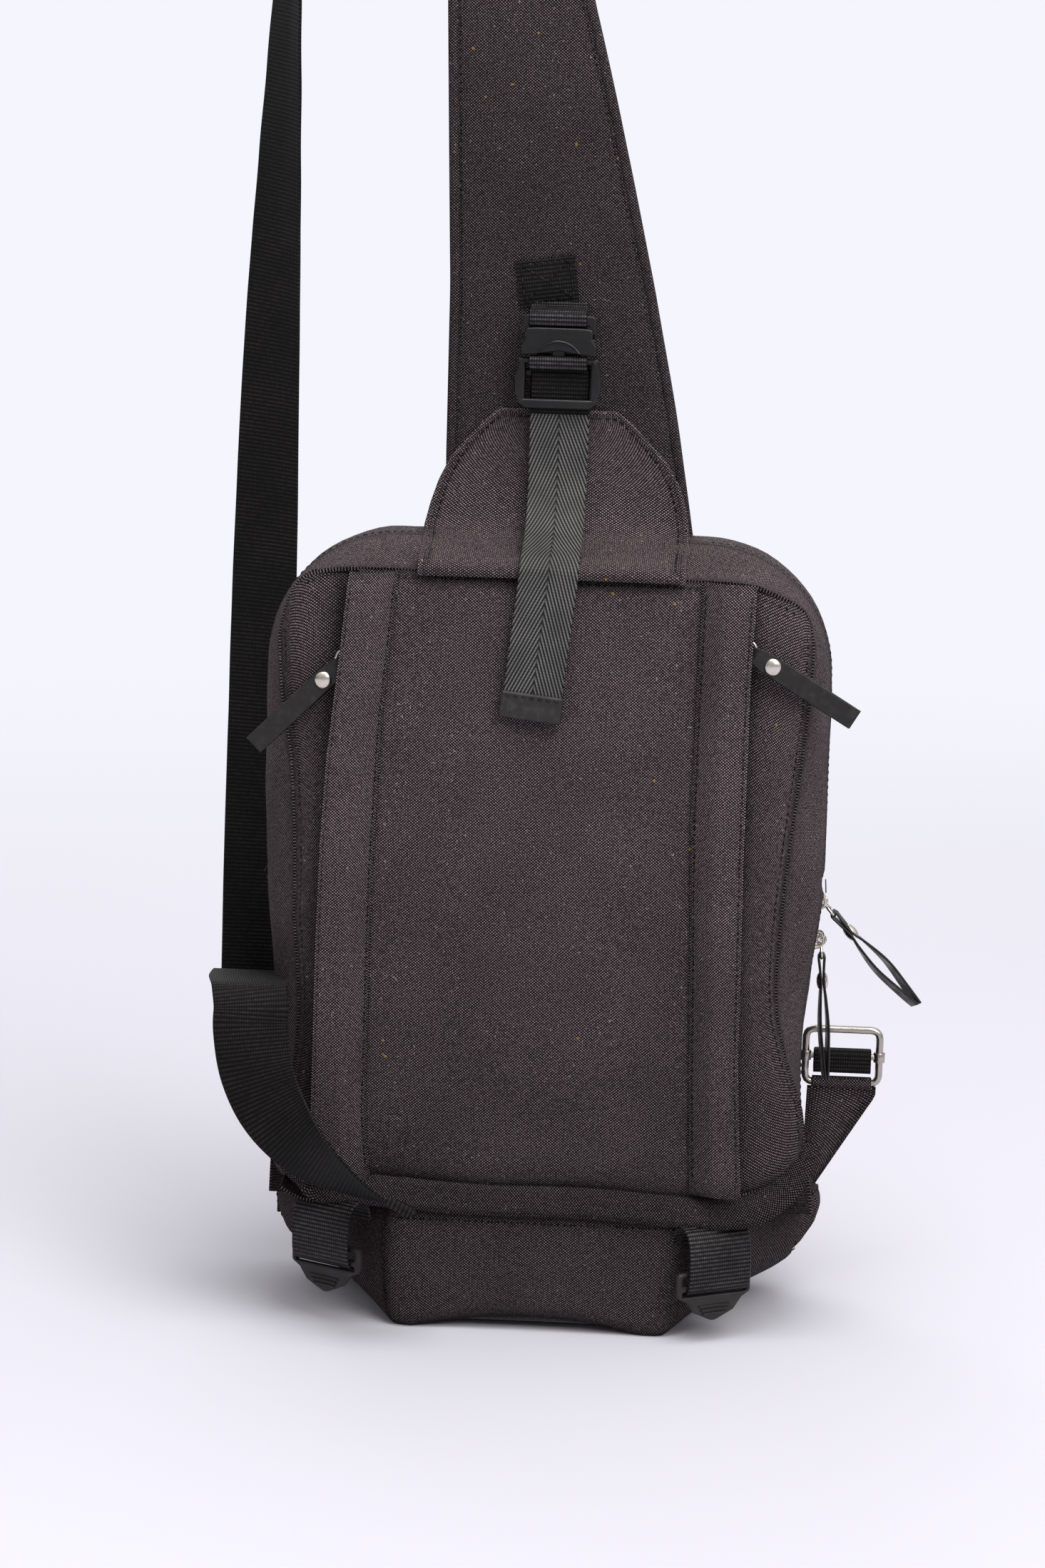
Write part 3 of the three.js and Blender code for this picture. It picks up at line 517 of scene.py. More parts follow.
def sweep(name, stations, section, material, count, scales=None, ripple=0.0, seed=0.0):
    """A strap whose section follows stations of (centre, across). scales: (share, width, thickness)."""
    centres = np.array([s[0] for s in stations], float)
    sides = np.array([s[1] for s in stations], float)
    both = np.hstack([centres, sides * 30.0])
    line = smooth_line(both, count)
    centres, sides = line[:, :3], line[:, 3:]
    forward = unit(np.gradient(centres, axis=0))
    sides = unit(sides - forward * np.sum(sides * forward, axis=1, keepdims=True))
    outward = np.cross(forward, sides)
    run = steps_between(centres)
    scale = np.ones((count, 2)) if scales is None else np.array(
        [np.interp(run / run[-1], [s[0] for s in scales], [s[k] for s in scales]) for k in (1, 2)]
    ).T
    wobble = np.array([noise.noise(Vector((r / 35.0 + seed, seed, 0))) for r in run]) * ripple
    points = [
        centres[i] + sides[i] * a * scale[i, 0] + outward[i] * (b * scale[i, 1] + wobble[i])
        for i in range(count)
        for a, b in section
    ]
    uvs = [(a, run[i]) for i in range(count) for a, _ in section]
    return make_mesh(name, points, ring_faces(count, len(section)), uvs, material)


def level(spots):
    """A strap's stations where it lies level from left to right."""
    return [(spot, (1, 0, 0)) for spot in spots]


def tube(name, points, radius, material, closed=False, sides=10, flatten=1.0):
    """A round wire along a line of points in millimetres."""
    line = np.asarray(points, float)
    count = len(line)
    forward = unit(np.roll(line, -1, 0) - np.roll(line, 1, 0) if closed else np.gradient(line, axis=0))
    normal = np.cross(forward[0], (0.3, 0.5, 0.81))
    rings, uvs = [], []
    run = steps_between(line)
    for i in range(count):
        normal = normal - forward[i] * np.dot(normal, forward[i])
        normal /= np.linalg.norm(normal)
        other = np.cross(forward[i], normal)
        for k in range(sides):
            angle = math.tau * k / sides
            rings.append(line[i] + radius * (math.cos(angle) * normal + flatten * math.sin(angle) * other))
            uvs.append((radius * angle, run[i]))
    return make_mesh(name, rings, ring_faces(count, sides, closed=closed), uvs, material)


def lathe(name, profile, material, place, axis, sides=28):
    """A turned piece: profile of (radius, height) along the axis from place, all in millimetres."""
    turn = Vector(axis).to_track_quat("Z", "Y").to_matrix().to_4x4()
    points = []
    for radius, height in profile:
        for k in range(sides):
            angle = math.tau * k / sides
            spot = turn @ Vector((radius * math.cos(angle), radius * math.sin(angle), height))
            points.append(np.array(place, float) + np.array(spot))
    return box_uvs(make_mesh(name, points, ring_faces(len(profile), sides), None, material))


def plate(name, outline, depth, material, matrix, holes=(), bevel=0.5):
    """A flat moulded plate with rounded edges, its outline in millimetres on the matrix's X and Y."""
    curve = bpy.data.curves.new(name, "CURVE")
    curve.dimensions = "2D"
    curve.fill_mode = "BOTH"
    curve.extrude = depth / 2 - bevel
    curve.bevel_depth = bevel
    curve.bevel_resolution = 2
    curve.offset = -bevel
    for points in (outline, *holes):
        spline = curve.splines.new("POLY")
        spline.points.add(len(points) - 1)
        for point, (x, y) in zip(spline.points, points):
            point.co = (x, y, 0, 1)
        spline.use_cyclic_u = True
    obj = final_mesh(linked(name, curve))
    obj.data.transform(Matrix.Scale(MM, 4) @ matrix)
    obj.matrix_world = Matrix.Identity(4)
    paint(obj.data, material)
    obj.data.set_sharp_from_angle(angle=math.radians(35))
    return box_uvs(obj)


def rounded(corners, steps=6):
    """An outline whose corners, given as (x, y, radius), are rounded."""
    points = []
    count = len(corners)
    for i, (x, y, radius) in enumerate(corners):
        here = Vector((x, y))
        before = (Vector(corners[i - 1][:2]) - here).normalized()
        after = (Vector(corners[(i + 1) % count][:2]) - here).normalized()
        half = before.angle(after) / 2
        reach = radius / math.tan(half)
        for t in np.linspace(0, 1, steps + 1):
            a, b = here + before * reach, here + after * reach
            points.append(tuple(a.lerp(here, t).lerp(here.lerp(b, t), t)))
    return points


def four_corners(low, high):
    """A rounded outline from the (half width, height, radius) of its lower and its upper corners."""
    return rounded([(-low[0], *low[1:]), low, high, (-high[0], *high[1:])])


def joined(name, pieces):
    """Makes one object of several."""
    for other in bpy.context.selected_objects:
        other.select_set(False)
    for piece in pieces:
        piece.select_set(True)
    bpy.context.view_layer.objects.active = pieces[0]
    bpy.ops.object.join()
    pieces[0].name = name
    pieces[0].data.name = name
    pieces[0].select_set(False)
    return pieces[0]


def stitches(name, line, outward, spacing=3.4, length=2.3, radius=0.3):
    """A row of sewn stitches: short threads that dip into the cloth at both ends."""
    line = np.asarray(line, float)
    run = steps_between(line)
    count = max(2, int(run[-1] / spacing))
    outward = np.asarray(outward, float)
    if outward.ndim == 1:
        outward = np.tile(outward, (len(line), 1))
    points, faces, uvs = [], [], []
    profile = [
        (-0.5, -0.9, 0.35), (-0.32, -0.1, 0.85), (0.0, 0.25, 1.0), (0.32, -0.1, 0.85), (0.5, -0.9, 0.35)
    ]
    for n in range(count):
        middle = (n + 0.5) * run[-1] / count
        ends = np.array(
            [[np.interp(middle + s * length, run, line[:, k]) for k in range(3)] for s, _, _ in profile]
        )
        up = np.array([np.interp(middle, run, outward[:, k]) for k in range(3)])
        up /= np.linalg.norm(up)
        forward = ends[-1] - ends[0]
        side = np.cross(forward, up)
        side /= max(np.linalg.norm(side), 1e-9)
        start = len(points)
        for (_, lift, size), spot in zip(profile, ends):
            for k in range(5):
                angle = math.tau * k / 5
                rise = lift + size * math.cos(angle)
                points.append(spot + up * radius * rise + side * radius * size * math.sin(angle))
                uvs.append((radius * angle, middle))
        faces += ring_faces(len(profile), 5, start, capped=False)
    return make_mesh(name, points, faces, uvs, thread, 60)


def skin_of(obj):
    """A piece's surface, for casting rays at it."""
    return BVHTree.FromPolygons([v.co for v in obj.data.vertices], [p.vertices for p in obj.data.polygons])


def laid_on(skin, spots, outward):
    """Points that start out in the direction outward, brought in until they lie just off a surface."""
    axis = max(range(3), key=lambda k: abs(outward[k]))
    laid = []
    for spot in spots:
        hit = skin.ray_cast(Vector(spot) * MM, -Vector(outward))[0]
        if hit is not None:
            laid.append([*spot])
            laid[-1][axis] = hit[axis] / MM + outward[axis] * 0.1
    return laid


def place(obj, body, slot, *nodes):
    """Rides a piece on its body and hides the CAD nodes it stands for; slot is not used."""
    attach(obj, body)
    if nodes:
        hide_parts(*nodes)
    return obj


# ------------------------------------------------------------------ shared outlines, in millimetres
BODY_HALF, BODY_TOP, BODY_CORNER = 125.2, 357.0, 56.0
LID_HALF, LID_TOP, LID_CORNER = 118.6, 346.6, 56.0
FOOT = 52.5
INSIDE = (0.0, 10.0, 190.0)
SIDES = (("left", -1), ("right", 1))


WAIST_HEIGHTS = [52, 66, 84, 108, 138, 162, 196, 240]
WAIST_LEFT = [0.975, 0.972, 0.965, 0.955, 0.955, 0.972, 1.0, 1.014]
WAIST_RIGHT = [1.02, 1.01, 0.985, 0.958, 0.953, 0.972, 1.008, 1.012]


def waist(x, z):
    """How the soft sides draw in above the stiff bottom section."""
    left, right = np.interp(z, WAIST_HEIGHTS, WAIST_LEFT), np.interp(z, WAIST_HEIGHTS, WAIST_RIGHT)
    return x * np.where(np.asarray(x) < 0, left, right)


def arch(half, top, corner, bottom, count, crown=0.0):
    """The line up the left side, over the top and down the right: (x, z) points."""
    turn = [math.radians(a) for a in range(180, 89, -6)]
    left = [(-half + corner + corner * math.cos(a), top - corner + corner * math.sin(a)) for a in turn]
    right = [(-x, z) for x, z in reversed(left)]
    top_line = [(x, top) for x in np.linspace(left[-1][0], right[0][0], 12)[1:-1]]
    line = np.array([(-half, bottom), *left, *top_line, *right, (half, bottom)])
    line = resample(line, count)
    line[:, 1] += crown * np.clip(1 - (line[:, 0] / half) ** 2, 0, 1) * (line[:, 1] > top - corner * 0.7)
    line[:, 0] = waist(line[:, 0], line[:, 1])
    return line


def band_grid(front, back, front_y, back_y, rows, bulge):
    """A grid from a front line to a back line of (x, z) points, bulging outward between them."""
    centre = np.array([0.0, 190.0])
    grid = []
    for t in np.linspace(0, 1, rows):
        line = front * (1 - t) + back * t
        line = line + unit(line - centre) * bulge * (1 - (2 * t - 1) ** 2)
        y = np.full(len(line), front_y * (1 - t) + back_y * t)
        grid.append(np.stack([line[:, 0], y, line[:, 1]], axis=1))
    return np.array(grid)


# ------------------------------------------------------------------ bottom section
def tub_plan(grow=0.0, flare=0.0, count=120):
    corners = [(-62, -50, 12), (66, -50, 12), (121, 20, 16), (123, 60, 12), (-121, 60, 12), (-119, 20, 16)]
    grown = [(x * (1 + grow / 120), y + (grow if y > 0 else -grow), r) for x, y, r in corners]
    line = np.array(rounded(grown, 5))
    line = resample(np.vstack([line, line[:1]]), count + 1)[:-1]
    return line


def tub_grid():
    """Rows from the lower edge up; the front's lower edge lifts a little in its middle."""
    base = tub_plan()
    grid = []
    for t in np.linspace(0, 1, 17):
        edge = 5.0 * (1 - min(1.0, t / 0.12)) ** 2
        line = base - unit(base) * edge
        outside = np.clip(np.abs(line[:, 0]) - 60, 0, None)
        spread_x = np.interp(
            t, [0, 0.1, 0.2, 0.4, 0.6, 0.8, 0.92, 1.0], [0.60, 0.72, 0.84, 1.02, 1.12, 1.16, 1.15, 1.08]
        )
        drawn_in = np.where(line[:, 0] < 0, -0.12 * t, 0.0)
        beside_zip = np.exp(-(((line[:, 1] - 25) / 9) ** 4)) * (line[:, 0] > 0)
        spread_x = spread_x - max(0.0, spread_x - 0.98) * beside_zip
        half = np.minimum(np.abs(line[:, 0]), 60) + outside * (spread_x + drawn_in)
        line[:, 0] = np.sign(line[:, 0]) * half
        front = np.clip((-line[:, 1] - 36) / 10, 0, 1)
        lift = 7.0 * (1 - t) ** 2 * front * np.clip(1 - (line[:, 0] / 52) ** 2, 0, 1)
        tuck = 9.0 * (1 - t) ** 2 * np.clip((np.abs(line[:, 0]) - 62) / 26, 0, 1)
        tucked_in = 2.6 * t**2 * front
        grid.append(np.stack([line[:, 0], line[:, 1], 52.0 * t + lift + tuck + tucked_in], axis=1))
    grid = np.array(grid)
    return np.concatenate([grid, grid[:, :1]], axis=1)


tub_surface = tub_grid()
# The bottom section takes the darker canvas copy: painted shade.
tub = shell(
    "bottom_section", tub_surface, (0, 5, 25), canvas_shaded, thickness=2.6, waves=0.9, wave_size=30.0,
    seed=3.0, edge=2
)
underside_rows = [tub_surface[0]]
for share in (0.86, 0.6, 0.3, 0.04):
    ring = tub_surface[0] * (share, share, 1)
    ring[:, 2] = 1.0 + (tub_surface[0][:, 2] - 1.0) * share * 0.4
    underside_rows.append(ring)
# The underside takes the darker canvas copy: painted shade.
underside = shell(
    "bottom_underside", np.array(underside_rows), (0, 5, 25), canvas_shaded, thickness=1.4, waves=0.3,
    wave_size=30.0, seed=9.0
)
tub_normals = normals_of(tub_surface)
if np.sum(tub_normals[:, :, :2] * tub_surface[:, :, :2]) < 0:
    tub_normals = -tub_normals
tub_threads = []
for x, y, step in ((-60.5, -47.5, -2), (60.5, -47.5, 2), (117.5, 19, 2), (-116, 19, -2)):
    column = min(
        range(len(tub_surface[0])),
        key=lambda j: math.hypot(tub_surface[8][j, 0] - x, tub_surface[8][j, 1] - y)
    ) + step
    seam_out = tub_normals[1:, column]
    tub_threads.append(stitches("tub_seam_threads", tub_surface[1:, column] + seam_out * 0.3, seam_out))
top_row = tub_surface[-2] + tub_normals[-2] * 0.3
tub_threads.append(stitches("tub_rim_threads", top_row, tub_normals[-2]))
place(joined("bottom_tub_canvas", [tub, underside]), "bag_body", "canvas", "bottom_tub")
place(joined("bottom_tub_stitching", tub_threads), "bag_body", "canvas")

board_line = tub_plan(-6.5, count=60)
beyond = np.clip(np.abs(board_line[:, 0]) - 60, 0, None)
board_line[:, 0] -= np.sign(board_line[:, 0]) * beyond * 0.5
board = plate(
    "bottom_board", board_line.tolist(), depth=3.0, material=foam, matrix=Matrix.Translation((0, 0, 4.9)),
    bevel=0.8
)
place(board, "bag_body", "foam_board", "base_board")


# ------------------------------------------------------------------ main compartment
ARCH_POINTS = 150
body_front = arch(BODY_HALF, BODY_TOP, BODY_CORNER, FOOT, count=ARCH_POINTS, crown=2.0)
body_back = arch(BODY_HALF - 2.6, BODY_TOP - 1.6, BODY_CORNER - 2, FOOT, count=ARCH_POINTS, crown=2.0)
gusset_grid = band_grid(body_front, body_back, front_y=-17.3, back_y=22.2, rows=9, bulge=2.0)
SEAM_Z = 205.0
for row in gusset_grid:
    near = np.exp(-(((row[:, 2] - SEAM_Z) / 2.2) ** 2)) * (np.abs(row[:, 0]) > 100)
    row[:, 0] -= np.sign(row[:, 0]) * 1.5 * near
gusset = shell(
    "main_gusset_canvas", gusset_grid, INSIDE, canvas, thickness=2.4, waves=0.9, wave_size=34.0, seed=1.0
)
gusset_threads = []
for edge_row, inward in ((1, 1), (7, -1)):
    line = gusset_grid[edge_row]
    away = away_from(line, INSIDE)
    gusset_threads.append(stitches("gusset_threads", line + away * 0.05, away, radius=0.26))
for _, sign in SIDES:
    x = float(waist(sign * (BODY_HALF + 1.2), SEAM_Z - 4))
    seam = np.array([[x + sign * 0.9, y, SEAM_Z - 3.4] for y in np.linspace(-14, 20, 12)])
    gusset_threads.append(stitches("gusset_join_threads", seam, (sign, 0, 0)))
gusset_skin = skin_of(gusset)
for _, sign in SIDES:
    spots = [(sign * 200, y, 198.5) for y in np.linspace(-15.5, 14, 16)]
    laid = laid_on(gusset_skin, spots, (sign, 0, 0))
    gusset_threads.append(stitches("gusset_cross_threads", laid, (sign, 0, 0)))
place(gusset, "bag_body", "canvas", "main_gusset")
place(joined("main_gusset_stitching", gusset_threads), "bag_body", "canvas")


def filled_arch(half, top, corner, bottom, y, rows=12, columns=41):
    """A panel that fills an arch: columns fan from the middle line to the outline."""
    outline = arch(half, top, corner, bottom, count=columns)
    low = bottom + (outline[:, 1] - bottom) * 0.02
    middle = np.stack([np.linspace(-half * 0.4, half * 0.4, columns), low], axis=1)
    grid = []
    for t in np.linspace(0, 1, rows):
        line = middle * (1 - t) + outline * t
        grid.append(np.stack([line[:, 0], np.full(columns, y), line[:, 1]], axis=1))
    return np.array(grid)


# The divider takes the darker canvas copy: painted shade.
wall = shell(
    "divider_canvas", filled_arch(BODY_HALF - 1, BODY_TOP - 1, BODY_CORNER, FOOT, -17.6), (0, 30, 190),
    canvas_shaded, thickness=2.2, waves=0.3, wave_size=60, seed=4.0
)
place(wall, "bag_body", "canvas", "main_front_wall")
lining_front = arch(BODY_HALF - 4.6, BODY_TOP - 4.6, BODY_CORNER - 4, FOOT + 1, count=110)
lining_grid = band_grid(lining_front, lining_front, front_y=-14.2, back_y=21.0, rows=7, bulge=-0.6)
main_lining = shell(
    "main_lining_cloth", lining_grid, INSIDE, lining, thickness=0.6, waves=0.8, wave_size=26.0, seed=12.0
)
place(main_lining, "bag_body", "lining_cloth", "main_lining")

slip = []
for t in np.linspace(0, 1, 12):
    z = 88 + 148 * t
    slip.append(
        [(x, -13.6 + 2.6 * math.sin(math.pi * (x + 78) / 156) * t**2, z) for x in np.linspace(-78, 78, 24)]
    )
slip_pocket = shell(
    "slip_pocket_cloth", np.array(slip), (0, -60, 190), lining, thickness=0.8, waves=0.5, wave_size=30.0,
    seed=2.0
)
slip_hem = tube(
    "slip_pocket_hem",
    [(x, -14.1 + 2.6 * math.sin(math.pi * (x + 78) / 156), 236) for x in np.linspace(-78, 78, 30)],
    radius=1.3, material=lining, sides=8, flatten=0.6
)
place(joined("slip_pocket", [slip_pocket, slip_hem]), "bag_body", "lining_cloth", "inner_slip_pocket")


# ------------------------------------------------------------------ main zip
ZIP_Y = 26.3
ZIP_HALF, ZIP_TOP, ZIP_CORNER = 120.0, 350.2, 56.0


def teeth_rows(name, spots, material, across, size, layers):
    """Small moulded teeth at each (place, along, outward), in layers of (height, share of the size)."""
    points, faces, uvs = [], [], []
    long, wide, tall = size
    for spot, along, outward in spots:
        start = len(points)
        for lift, grow in layers:
            for a, b in ((-0.5, -0.5), (0.5, -0.5), (0.5, 0.5), (-0.5, 0.5)):
                points.append(
                    spot + along * a * long * grow + across * b * wide * grow + outward * lift * tall
                )
                uvs.append((a * long, b * wide))
        faces += ring_faces(3, 4, start, capped=False)
        faces.append(tuple(start + 8 + k for k in range(4)))
        faces.append(tuple(start + 3 - k for k in range(4)))
    return make_mesh(name, points, faces, uvs, material, 30)


def zip_side(name, body, node, tape_front, tape_back, teeth_y, stagger):
    line = arch(ZIP_HALF - 0.6, ZIP_TOP - 0.6, ZIP_CORNER - 1, 62, count=150)
    tape_piece = shell(
        f"{name}_tape", band_grid(line, line, front_y=tape_front, back_y=tape_back, rows=3, bulge=0.0),
        INSIDE, tape, thickness=1.0, waves=0.1, wave_size=20.0, seed=5.0
    )
    fine = resample(arch(ZIP_HALF, ZIP_TOP, ZIP_CORNER, 63, count=400), 560)[stagger::2]
    spots = []
    for before, here, after in zip(fine[:-2], fine[1:-1], fine[2:]):
        along = np.array([after[0] - before[0], 0, after[1] - before[1]])
        along /= np.linalg.norm(along)
        outward = np.array([-along[2], 0, along[0]])
        spots.append((np.array([here[0], teeth_y, here[1]]) - outward * 0.6, along, outward))
    layers = ((-0.5, 1.0), (0.3, 0.92), (0.5, 0.6))
    teeth = teeth_rows(
        f"{name}_teeth", spots, tooth_metal, np.array([0.0, 1.0, 0.0]), (1.45, 2.5, 1.9), layers
    )
    place(tape_piece, body, "zip_tape", node)
    place(teeth, body, "dark_metal")


zip_side("main_zip_front", "bag_body", "main_zip_front", 22.0, 25.4, 25.2, 0)
zip_side("main_zip_rear", "rear_lid", "main_zip_rear", 27.2, 30.6, 27.4, 1)


# ------------------------------------------------------------------ rear part
rear_front_line = arch(LID_HALF + 1.8, LID_TOP + 1.6, LID_CORNER, FOOT + 1, count=ARCH_POINTS, crown=1.5)
rear_back_line = arch(LID_HALF, LID_TOP, LID_CORNER, FOOT + 1, count=ARCH_POINTS, crown=1.0)
rear_grid = band_grid(rear_front_line, rear_back_line, front_y=30.3, back_y=57.5, rows=8, bulge=1.6)
rear_gusset = shell(
    "rear_gusset_canvas", rear_grid, (0, 45, 190), canvas, thickness=2.2, waves=0.8, wave_size=34.0,
    seed=6.0
)
place(rear_gusset, "rear_lid", "canvas", "rear_gusset")
rear_away = away_from(rear_grid[1], (0, 45, 190))
place(stitches("rear_gusset_stitching", rear_grid[1] + rear_away * 0.4, rear_away), "rear_lid", "canvas")


def inflate(obj, pressure, cap):
    """Swells a closed piece as stuffing does, moving no point further than cap (metres)."""
    before = np.array([v.co for v in obj.data.vertices])
    cloth = obj.modifiers.new("cloth", "CLOTH")
    cloth.settings.use_pressure = True
    cloth.settings.uniform_pressure_force = pressure
    cloth.settings.effector_weights.gravity = 0.0
    cloth.settings.quality = 4
    cloth.point_cache.frame_start = 1
    cloth.point_cache.frame_end = 20
    for number in range(1, 21):
        bpy.context.scene.frame_set(number)
    fresh = final_mesh(obj)
    bpy.context.scene.frame_set(1)
    after = np.array([v.co for v in fresh.data.vertices])
    move = after - before
    length = np.linalg.norm(move, axis=1, keepdims=True)
    move *= np.minimum(1.0, cap / np.maximum(length, 1e-9)) * (0.15, 1.0, 0.15)
    fresh.data.vertices.foreach_set("co", (before + move).astype(np.float32).ravel())
    return fresh


def remeshed(obj, voxel):
    change = obj.modifiers.new("remesh", "REMESH")
    change.mode = "VOXEL"
    change.voxel_size = voxel
    return final_mesh(obj)


def subdivided(obj):
    change = obj.modifiers.new("smooth", "SUBSURF")
    change.levels = 1
    change.render_levels = 1
    return final_mesh(obj)


def pad(name, outline, y_front, y_back, material, cap, channels=(), voxel=5.0 * MM):
    """A foam pad behind an outline of (x, z), swollen by pressure and then sewn down along its channels."""
    matrix = Matrix.Translation((0, (y_front + y_back) / 2, 0)) @ turned(90, "X")
    blank = plate(
        name, outline, depth=y_back - y_front, material=material, matrix=matrix,
        bevel=min(2.0, (y_back - y_front) * 0.3)
    )
    blank = remeshed(blank, voxel)
    blank = subdivided(inflate(blank, pressure=4.0, cap=cap))
    centre_y = (y_front + y_back) / 2 * MM
    for vertex in blank.data.vertices:
        x, z = vertex.co.x / MM, vertex.co.z / MM
        dip = max((math.exp(-((distance(x, z) / 3.2) ** 2)) for distance in channels), default=0.0)
        vertex.co.y = centre_y + (vertex.co.y - centre_y) * (1 - 0.75 * dip)
    paint(blank.data, material)
    return box_uvs(blank)


back_outline = [tuple(p) for p in arch(LID_HALF - 1, LID_TOP - 1, LID_CORNER, FOOT + 1.5, count=60)]
back_channels = [
    lambda x, z: abs(x) - 58,
    lambda x, z: z - 142 if abs(x) < 58 else 99,
    lambda x, z: z - 246 if abs(x) < 58 else 99,
]
back_pad = pad(
    "back_panel_pad", back_outline, y_front=56.4, y_back=61.0, material=canvas, cap=3.0 * MM,
    channels=back_channels, voxel=3.4 * MM
)
place(back_pad, "rear_lid", "canvas", "back_panel")
piping_line = [
    (x, 57.4, z) for x, z in arch(LID_HALF - 1.0, LID_TOP - 1.0, LID_CORNER, FOOT + 2.3, count=90)
]
back_piping = tube(
    "back_panel_piping", resample(np.array([*piping_line, piping_line[0]]), 300)[:-1], radius=2.0,
    material=canvas, closed=True, sides=8
)
place(box_uvs(back_piping), "rear_lid", "canvas")
foam_outline = [tuple(p) for p in arch(LID_HALF - 5, LID_TOP - 5, LID_CORNER - 4, FOOT + 5, count=50)]
foam_pad = pad(
    "back_foam_pad", foam_outline, y_front=51.8, y_back=55.6, material=foam, cap=1.2 * MM, channels=(),
    voxel=3.4 * MM
)
place(foam_pad, "rear_lid", "foam_board", "back_foam")


# ------------------------------------------------------------------ front pocket
FACE_Y = -50.4
FACE_HALF = 116.6
FOOT_SLOPE = 0.022  # how far the pocket's lower seam falls per millimetre to the right
SLOT_INNER, SLOT_OUTER = 84.0, 89.0


EDGE_HEIGHTS = [60, 78, 94, 110, 131, 150, 166, 190, 210, 230, 262, 291, 320]
EDGE_HALVES = {
    1: [119.0, 121.8, 123.4, 121.2, 113.2, 108.2, 106.8, 107.6, 109.0, 110.8, 114.4, 117.2, 118.8],
    -1: [112.0, 112.5, 111.5, 109.5, 107.0, 106.5, 107.6, 109.6, 109.4, 110.0, 112.0, 117.4, 119.0],
}


def pocket_edge(z, sign):
    """Half width of the pocket's face at each height, on the left (-1) or the right (1)."""
    return np.interp(z, EDGE_HEIGHTS, EDGE_HALVES[sign])


def pocket_top(x):
    """Height of the pocket's upper seam across its width: its left corner is squarer."""
    right = np.interp(
        x, [0, 60, 80, 91.8, 96, 106.5, 112, 115.1, 116.6],
        [344.6, 345, 344.9, 344.1, 342.4, 338, 334, 329, 318]
    )
    left = np.interp(
        -np.asarray(x), [0, 60, 80, 94, 104, 109, 113, 116.6],
        [344.6, 345.6, 346.0, 346.0, 344.4, 340.6, 333.6, 316]
    )
    return np.where(np.asarray(x) < 0, left, right)


def pocket_foot(x):
    """Height of the seam under the pocket's face."""
    rise = np.interp(np.abs(x), [0, 86, 96, 104, 110, 114, 116.6], [0, 0, 1.5, 5, 10.5, 17, 28])
    return 67.4 - FOOT_SLOPE * np.asarray(x) + rise + 0.8 * np.sin(np.asarray(x) / 13.0)


def face_x(nominal, z):
    """Where a column of the face lies at a height, the outermost column following the pocket's edge."""
    sign = 1 if nominal >= 0 else -1
    if abs(nominal) <= SLOT_OUTER:
        return nominal
    outer = float(pocket_edge(z, sign))
    return sign * (
        SLOT_OUTER + (abs(nominal) - SLOT_OUTER) / (FACE_HALF - SLOT_OUTER) * (outer - SLOT_OUTER)
    )


def face_grid(low_share, high_share, columns, rows=46):
    """Part of the pocket's face, between shares of its half width from -1 to 1."""
    grid = []
    for t in np.linspace(0, 1, rows):
        row = []
        for share in np.linspace(low_share, high_share, columns):
            nominal = share * FACE_HALF
            sign = 1 if nominal >= 0 else -1
            z = pocket_foot(nominal) + t * (pocket_top(nominal) - pocket_foot(nominal))
            x = face_x(nominal, z)
            edge = min(
                float(pocket_edge(z, sign)) - abs(x), float(pocket_top(nominal)) - z,
                z - float(pocket_foot(nominal))
            )
            round_off = 3.4 * math.exp(-max(edge, 0) / 3.0)
            belly = 1.7 * max(0.0, 1 - (x / 70) ** 2) * math.sin(math.pi * t) ** 0.6
            row.append((x, FACE_Y + round_off - belly, z))
        grid.append(row)
    return np.array(grid)


BEHIND = (0.0, 300.0, 200.0)
centre_grid = face_grid(-SLOT_INNER / FACE_HALF, SLOT_INNER / FACE_HALF, 61)
centre = shell(
    "front_centre_canvas", centre_grid, BEHIND, canvas, thickness=1.8, waves=0.55, wave_size=46.0, seed=20.0
)
place(centre, "bag_body", "canvas", "front_centre_panel")
for side, sign in SIDES:
    grid = face_grid(sign * SLOT_OUTER / FACE_HALF, sign * 1.0, 13)
    grid[:, :, 1] += 2.6 * np.linspace(1, 0, 13) ** 2
    # Both side panels are darker along their inner column, a painted shadow of the flap; only the right one
    # takes the lighter canvas copy, painted light from the right.
    piece = shell(
        f"front_side_canvas_{side}", grid, BEHIND, canvas_lit if sign > 0 else canvas, thickness=1.8,
        waves=0.5, wave_size=40.0, seed=22.0 + sign, seams=(0.4, 0.4, 0.62, 0.4), reach=4.6
    )
    place(piece, "bag_body", "canvas", f"front_side_panel_{side}")


def seam_point(height, nominal):
    """A point of the face's outline, where height is pocket_foot or pocket_top."""
    z = float(height(nominal))
    return face_x(nominal, z), z


CORNER_COLUMNS = (90, 95, 99, 102, 105, 107.5, 110, 112, 114, 115.4, 116.3)
foot_left = [seam_point(pocket_foot, -n) for n in CORNER_COLUMNS]
foot_right = [seam_point(pocket_foot, n) for n in CORNER_COLUMNS[::-1]]
climb = np.linspace(98, 318, 34)
top_columns = [
    -116, -114, -112, -109, -106, -100, -92, -84, *np.linspace(-74, 74, 25), 84, 92, 96, 101, 106, 109, 112,
    114, 116
]
outline = foot_left + [(-float(pocket_edge(z, -1)), z) for z in climb]
outline += [seam_point(pocket_top, x) for x in top_columns]
outline += [(float(pocket_edge(z, 1)), z) for z in climb[::-1]] + foot_right
seam_line = resample(np.array(outline), 150)
wall_arch = arch(BODY_HALF, BODY_TOP, BODY_CORNER, 70, count=130, crown=2.0)
wall_line = resample(
    np.vstack(
        [[(-90, 56.6), (-108, 57.2), (-116, 60.4)], wall_arch, [(118, 60.4), (110, 57.2), (90, 56.6)]]
    ),
    150
)
pocket_sides = []
